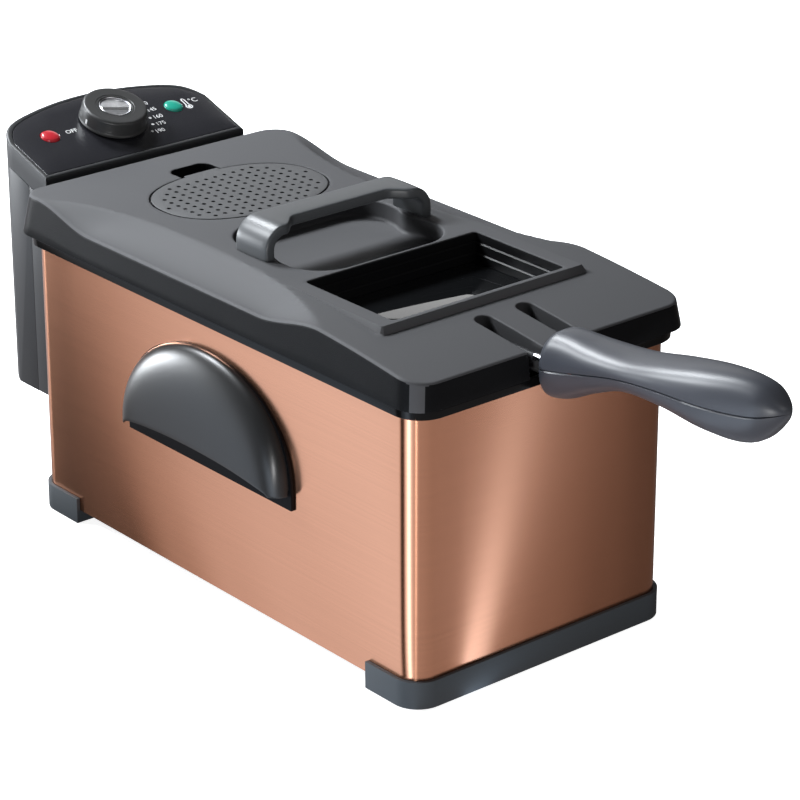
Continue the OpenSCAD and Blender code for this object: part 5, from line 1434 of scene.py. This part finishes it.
class FRYER_OT_dressed(bpy.types.Operator):
    """Copies the small CAD nodes, softens their edges and gives them their materials"""
    bl_idname = "fryer.dressed"
    bl_label = "Small parts"
    bl_options = UNDOABLE

    def execute(self, context):
        for node, name, bevel, look, slot in DRESSED:
            place(dress(node, name, bevel), look, body_of(node), [node])
        return {"FINISHED"}


class FRYER_OT_housing(bpy.types.Operator):
    """Builds the brushed housing and its two side handles"""
    bl_idname = "fryer.housing"
    bl_label = "Housing"
    bl_options = UNDOABLE

    def execute(self, context):
        place(build_sleeve(), "copper", "housing", ["housing_shell"])
        for mirror, node in ((False, "left_handle_shell"), (True, "right_handle_shell")):
            place(build_side_handle(mirror), "satin_plastic", "housing", [node])
        return {"FINISHED"}


class FRYER_OT_pot(bpy.types.Operator):
    """Builds the enamelled oil pot"""
    bl_idname = "fryer.pot"
    bl_label = "Oil pot"
    bl_options = UNDOABLE

    def execute(self, context):
        place(build_pot(), "enamel", "pot", ["oil_pot"])
        return {"FINISHED"}


class FRYER_OT_basket(bpy.types.Operator):
    """Builds the wire basket, its frame, the handle wires and the two halves of the grip"""
    bl_idname = "fryer.basket"
    bl_label = "Basket"
    bl_options = UNDOABLE

    def execute(self, context):
        place(build_basket(), "mesh_steel", "basket", ["basket_mesh"])
        place(build_basket_frame(), "chrome", "basket", ["basket_frame"])
        wires = place(build_handle_wires(), "wire_chrome", "basket", ["handle_wires"])
        # the stretch of the wires that runs in the lid's slots gets painted shade
        paint_shade(wires, lambda x, y, z, normal: (z > WIRE_Z - 6) & (y > GRIP_START), "burnt_steel")
        for upper, node in ((True, "grip_upper"), (False, "grip_lower")):
            place(build_grip_half(upper), "grip_plastic", "basket", [node])
        return {"FINISHED"}


class FRYER_OT_lid(bpy.types.Operator):
    """Builds the lid, its strap and the filter cover"""
    bl_idname = "fryer.lid"
    bl_label = "Lid"
    bl_options = UNDOABLE

    def execute(self, context):
        lid = place(build_lid(), "lid_plastic", "lid", ["lid_shell"])
        # the window's well and the filter's pocket get painted shade
        paint_shade(lid, in_pockets)
        # the lid's upright outer walls get painted shade
        paint_shade(lid, on_skirt, "side_plastic")
        place(build_strap(), "strap_plastic", "lid", ["lid_handle"])
        cover = build_filter_cover()
        place(cover, "cover_plastic", "filter_lid", ["filter_cover"])
        # the cover's hole walls, underside and lower edge get painted shade
        paint_shade(cover, lambda x, y, z, normal: z < LID_TOP - 0.2)
        return {"FINISHED"}


class FRYER_OT_controls(bpy.types.Operator):
    """Builds the control unit's cap, panel, lenses, dial and printed marks"""
    bl_idname = "fryer.controls"
    bl_label = "Controls"
    bl_options = UNDOABLE

    def execute(self, context):
        unit, high = "control_unit", size("mark_height")
        place(build_cap(), "unit_plastic", unit, ["control_cap"])
        place(build_panel(), "panel_plastic", unit, ["control_panel"])
        place(build_lens(-LENS_X, "power_lens"), "red_plastic", unit, ["red_lens"])
        place(build_lens(LENS_X, "ready_lens"), "green_plastic", unit, ["green_lens"])
        place(build_dial(), "dial_plastic", "dial", ["dial_knob"])
        place(build_insert(), "insert_metal", "dial", ["dial_insert"])
        place(build_pointer(), "ink", "dial")
        for words, angle in MARKS:
            k = math.radians(angle)
            x, up = MARK_RING * math.cos(k) + 0.4, MARK_RING * math.sin(k)
            place(text_on_panel("mark_" + words, words, x, up, high, "LEFT"), "ink", unit)
        place(text_on_panel("mark_off", "OFF", -33.0, 0.0, high), "ink", unit)
        place(text_on_panel("mark_degrees", "°C", 67.2, 1.2, 6.2), "ink", unit)
        place(build_marks(), "ink", unit)
        return {"FINISHED"}


class FRYER_OT_stage(bpy.types.Operator):
    """Sets up the pale floor, the soft lights and the camera"""
    bl_idname = "fryer.stage"
    bl_label = "Stage"
    bl_options = UNDOABLE

    def execute(self, context):
        build_stage()
        return {"FINISHED"}


def area_light(name, at, wide_high, power, colour):
    """A rectangular light aimed at the middle of the fryer."""
    data = bpy.data.lights.new(name, "AREA")
    data.shape, (data.size, data.size_y) = "RECTANGLE", wide_high
    data.energy, data.color = power, colour
    obj = bpy.data.objects.new(name, data)
    obj.location = at
    obj.rotation_mode = "QUATERNION"
    obj.rotation_quaternion = (Vector(LIGHT_AIM) - Vector(at)).to_track_quat("-Z", "Y")
    bpy.context.scene.collection.objects.link(obj)


def ramp(n, value, stops):
    """A smooth curve through (position, strength) pairs."""
    node = n.new("ValToRGB", {0: value})
    r = node.color_ramp
    r.interpolation = "EASE"
    while len(r.elements) < len(stops):
        r.elements.new(0.5)
    for element, (at, strength) in zip(r.elements, stops):
        element.position = at
        element.color = (strength, strength, strength, 1)
    return node.outputs[0]


def share(degrees):
    """A direction round the corner as a share of a turn, counted from the direction half way to the rear."""
    return (degrees - TURN_START) / 360


def floor_material():
    """Pale paper: plain white to the eye, and soft pools of light as polished faces mirror it.

    With x and y counted from the housing's front left corner, the left pool changes with y + 1.8 x, the
    front pool holds one narrow streak along the line 0.692 x + 0.722 y = 0.027, and between them the
    strength depends on the angle round the corner."""
    mat, n, shader, coords = start_material("floor_paper")
    x, y, _ = n.new("SeparateXYZ", {0: n.vector("SUBTRACT", coords, 1, FLOOR_CORNER)}).outputs
    turn = n.math("ARCTAN2", y, x)
    turn = n.math("MODULO", n.math("ADD", turn, 2 * math.pi - math.radians(TURN_START)), 2 * math.pi)
    turn = n.math("DIVIDE", turn, 2 * math.pi)
    around = ramp(n, turn, [(share(degrees), strength) for degrees, strength in AROUND])
    left = n.math("ADD", y, n.math("MULTIPLY", x, 1.8))
    pool = ramp(n, n.fit(left, -0.2, 0.5, 0, 1), LEFT_POOL)
    across = n.math("SUBTRACT", n.blend(x, 0.692, y, 0.722), 0.027)
    front = ramp(n, n.fit(across, -0.1, 0.1, 0, 1), FRONT_POOL)
    is_left = n.fit(turn, share(132), share(128), 0, 1)
    is_front = n.fit(turn, share(300), share(312), 0, 1)
    light = n.mix(is_left, around, pool)
    light = n.mix(is_front, light, front)
    ray = n.new("LightPath").outputs["Is Camera Ray"]
    tone = n.fit(n.noise(coords, 3.0, 3.0), 0.3, 0.7, 0.90, 0.93)
    n.set(shader["Base Color"], n.math("MULTIPLY", tone, ray))
    warmth = n.mix(n.fit(light, 0.2, 1.1), (1.0, 0.86, 0.8, 1), (0.96, 1.1, 1.28, 1))
    light = n.mix(1.0, light, warmth, "MULTIPLY")
    n.set(shader["Emission Color"], n.mix(ray, light, (0.88, 0.88, 0.88, 1)))
    n.set(shader["Emission Strength"], 1.0)
    n.set(shader["Roughness"], 0.95)
    n.set(shader["Specular IOR Level"], 0.1)
    return mat


def build_stage():
    """Sets up the surroundings, the floor, the lights and the camera, whose axes are right, up and back."""
    scene = bpy.context.scene
    settings = scene.fryer_stage
    world = bpy.data.worlds.new("Studio")
    scene.world = world
    world.use_nodes = True
    n = Nodes(world.node_tree)
    world.node_tree.nodes.clear()
    seen = n.new("Background", {"Color": (1, 1, 1, 1), "Strength": 1.0}).outputs[0]
    lit = n.new("Background", {"Color": (1, 1, 1, 1), "Strength": settings.world}).outputs[0]
    path = n.new("LightPath").outputs["Is Camera Ray"]
    n.new("OutputWorld", {0: n.new("MixShader", {0: path, 1: lit, 2: seen}).outputs[0]})

    mesh = bpy.data.meshes.new("floor")
    mesh.from_pydata([(-30, -30, 0), (30, -30, 0), (30, 30, 0), (-30, 30, 0)], [], [(0, 1, 2, 3)])
    floor = bpy.data.objects.new("floor", mesh)
    scene.collection.objects.link(floor)
    mesh.materials.append(floor_material())
    for light in LIGHTS:
        area_light(*light)

    back = Vector(CAMERA_BACK).normalized()
    right = Vector((0, 0, 1)).cross(back).normalized()
    up = back.cross(right)
    data = bpy.data.cameras.new("camera")
    data.sensor_width, data.lens, data.clip_start, data.clip_end = 36.0, settings.lens, 0.05, 100.0
    camera = bpy.data.objects.new("camera", data)
    camera.rotation_mode = "QUATERNION"
    camera.rotation_quaternion = Matrix((right, up, back)).transposed().to_quaternion()
    camera.location = CAMERA_AT
    scene.collection.objects.link(camera)
    scene.camera = camera
    scene.view_settings.view_transform = "Standard"


OPERATORS = (FRYER_OT_materials, FRYER_OT_dressed, FRYER_OT_housing, FRYER_OT_pot, FRYER_OT_basket,
             FRYER_OT_lid, FRYER_OT_controls, FRYER_OT_stage)


class FRYER_PT_panel(bpy.types.Panel):
    """The fryer's sizes and colours and the buttons that build its pieces"""
    bl_idname = "FRYER_PT_panel"
    bl_label = "Deep fryer"
    bl_space_type = "VIEW_3D"
    bl_region_type = "UI"
    bl_category = "Fryer"

    def draw(self, context):
        for name in GROUPS:
            group = getattr(context.scene, name)
            for key in group.__annotations__:
                self.layout.prop(group, key)
        for op in OPERATORS:
            self.layout.operator(op.bl_idname)


GROUPS = {"fryer_sizes": FryerSizes, "fryer_colours": FryerColours, "fryer_stage": FryerStage}
CLASSES = (*GROUPS.values(), *OPERATORS, FRYER_PT_panel)


def register():
    """Adds the add-on's classes, and its settings to the scene."""
    for c in CLASSES:
        bpy.utils.register_class(c)
    for name, group in GROUPS.items():
        setattr(bpy.types.Scene, name, PointerProperty(type=group))


def unregister():
    """Takes the settings and the classes away again."""
    for name in GROUPS:
        delattr(bpy.types.Scene, name)
    for c in reversed(CLASSES):
        bpy.utils.unregister_class(c)


def main():
    """Registers the add-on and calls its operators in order."""
    register()
    for op in OPERATORS:
        space, name = op.bl_idname.split(".")
        getattr(getattr(bpy.ops, space), name)()


if __name__ == "__main__":
    main()
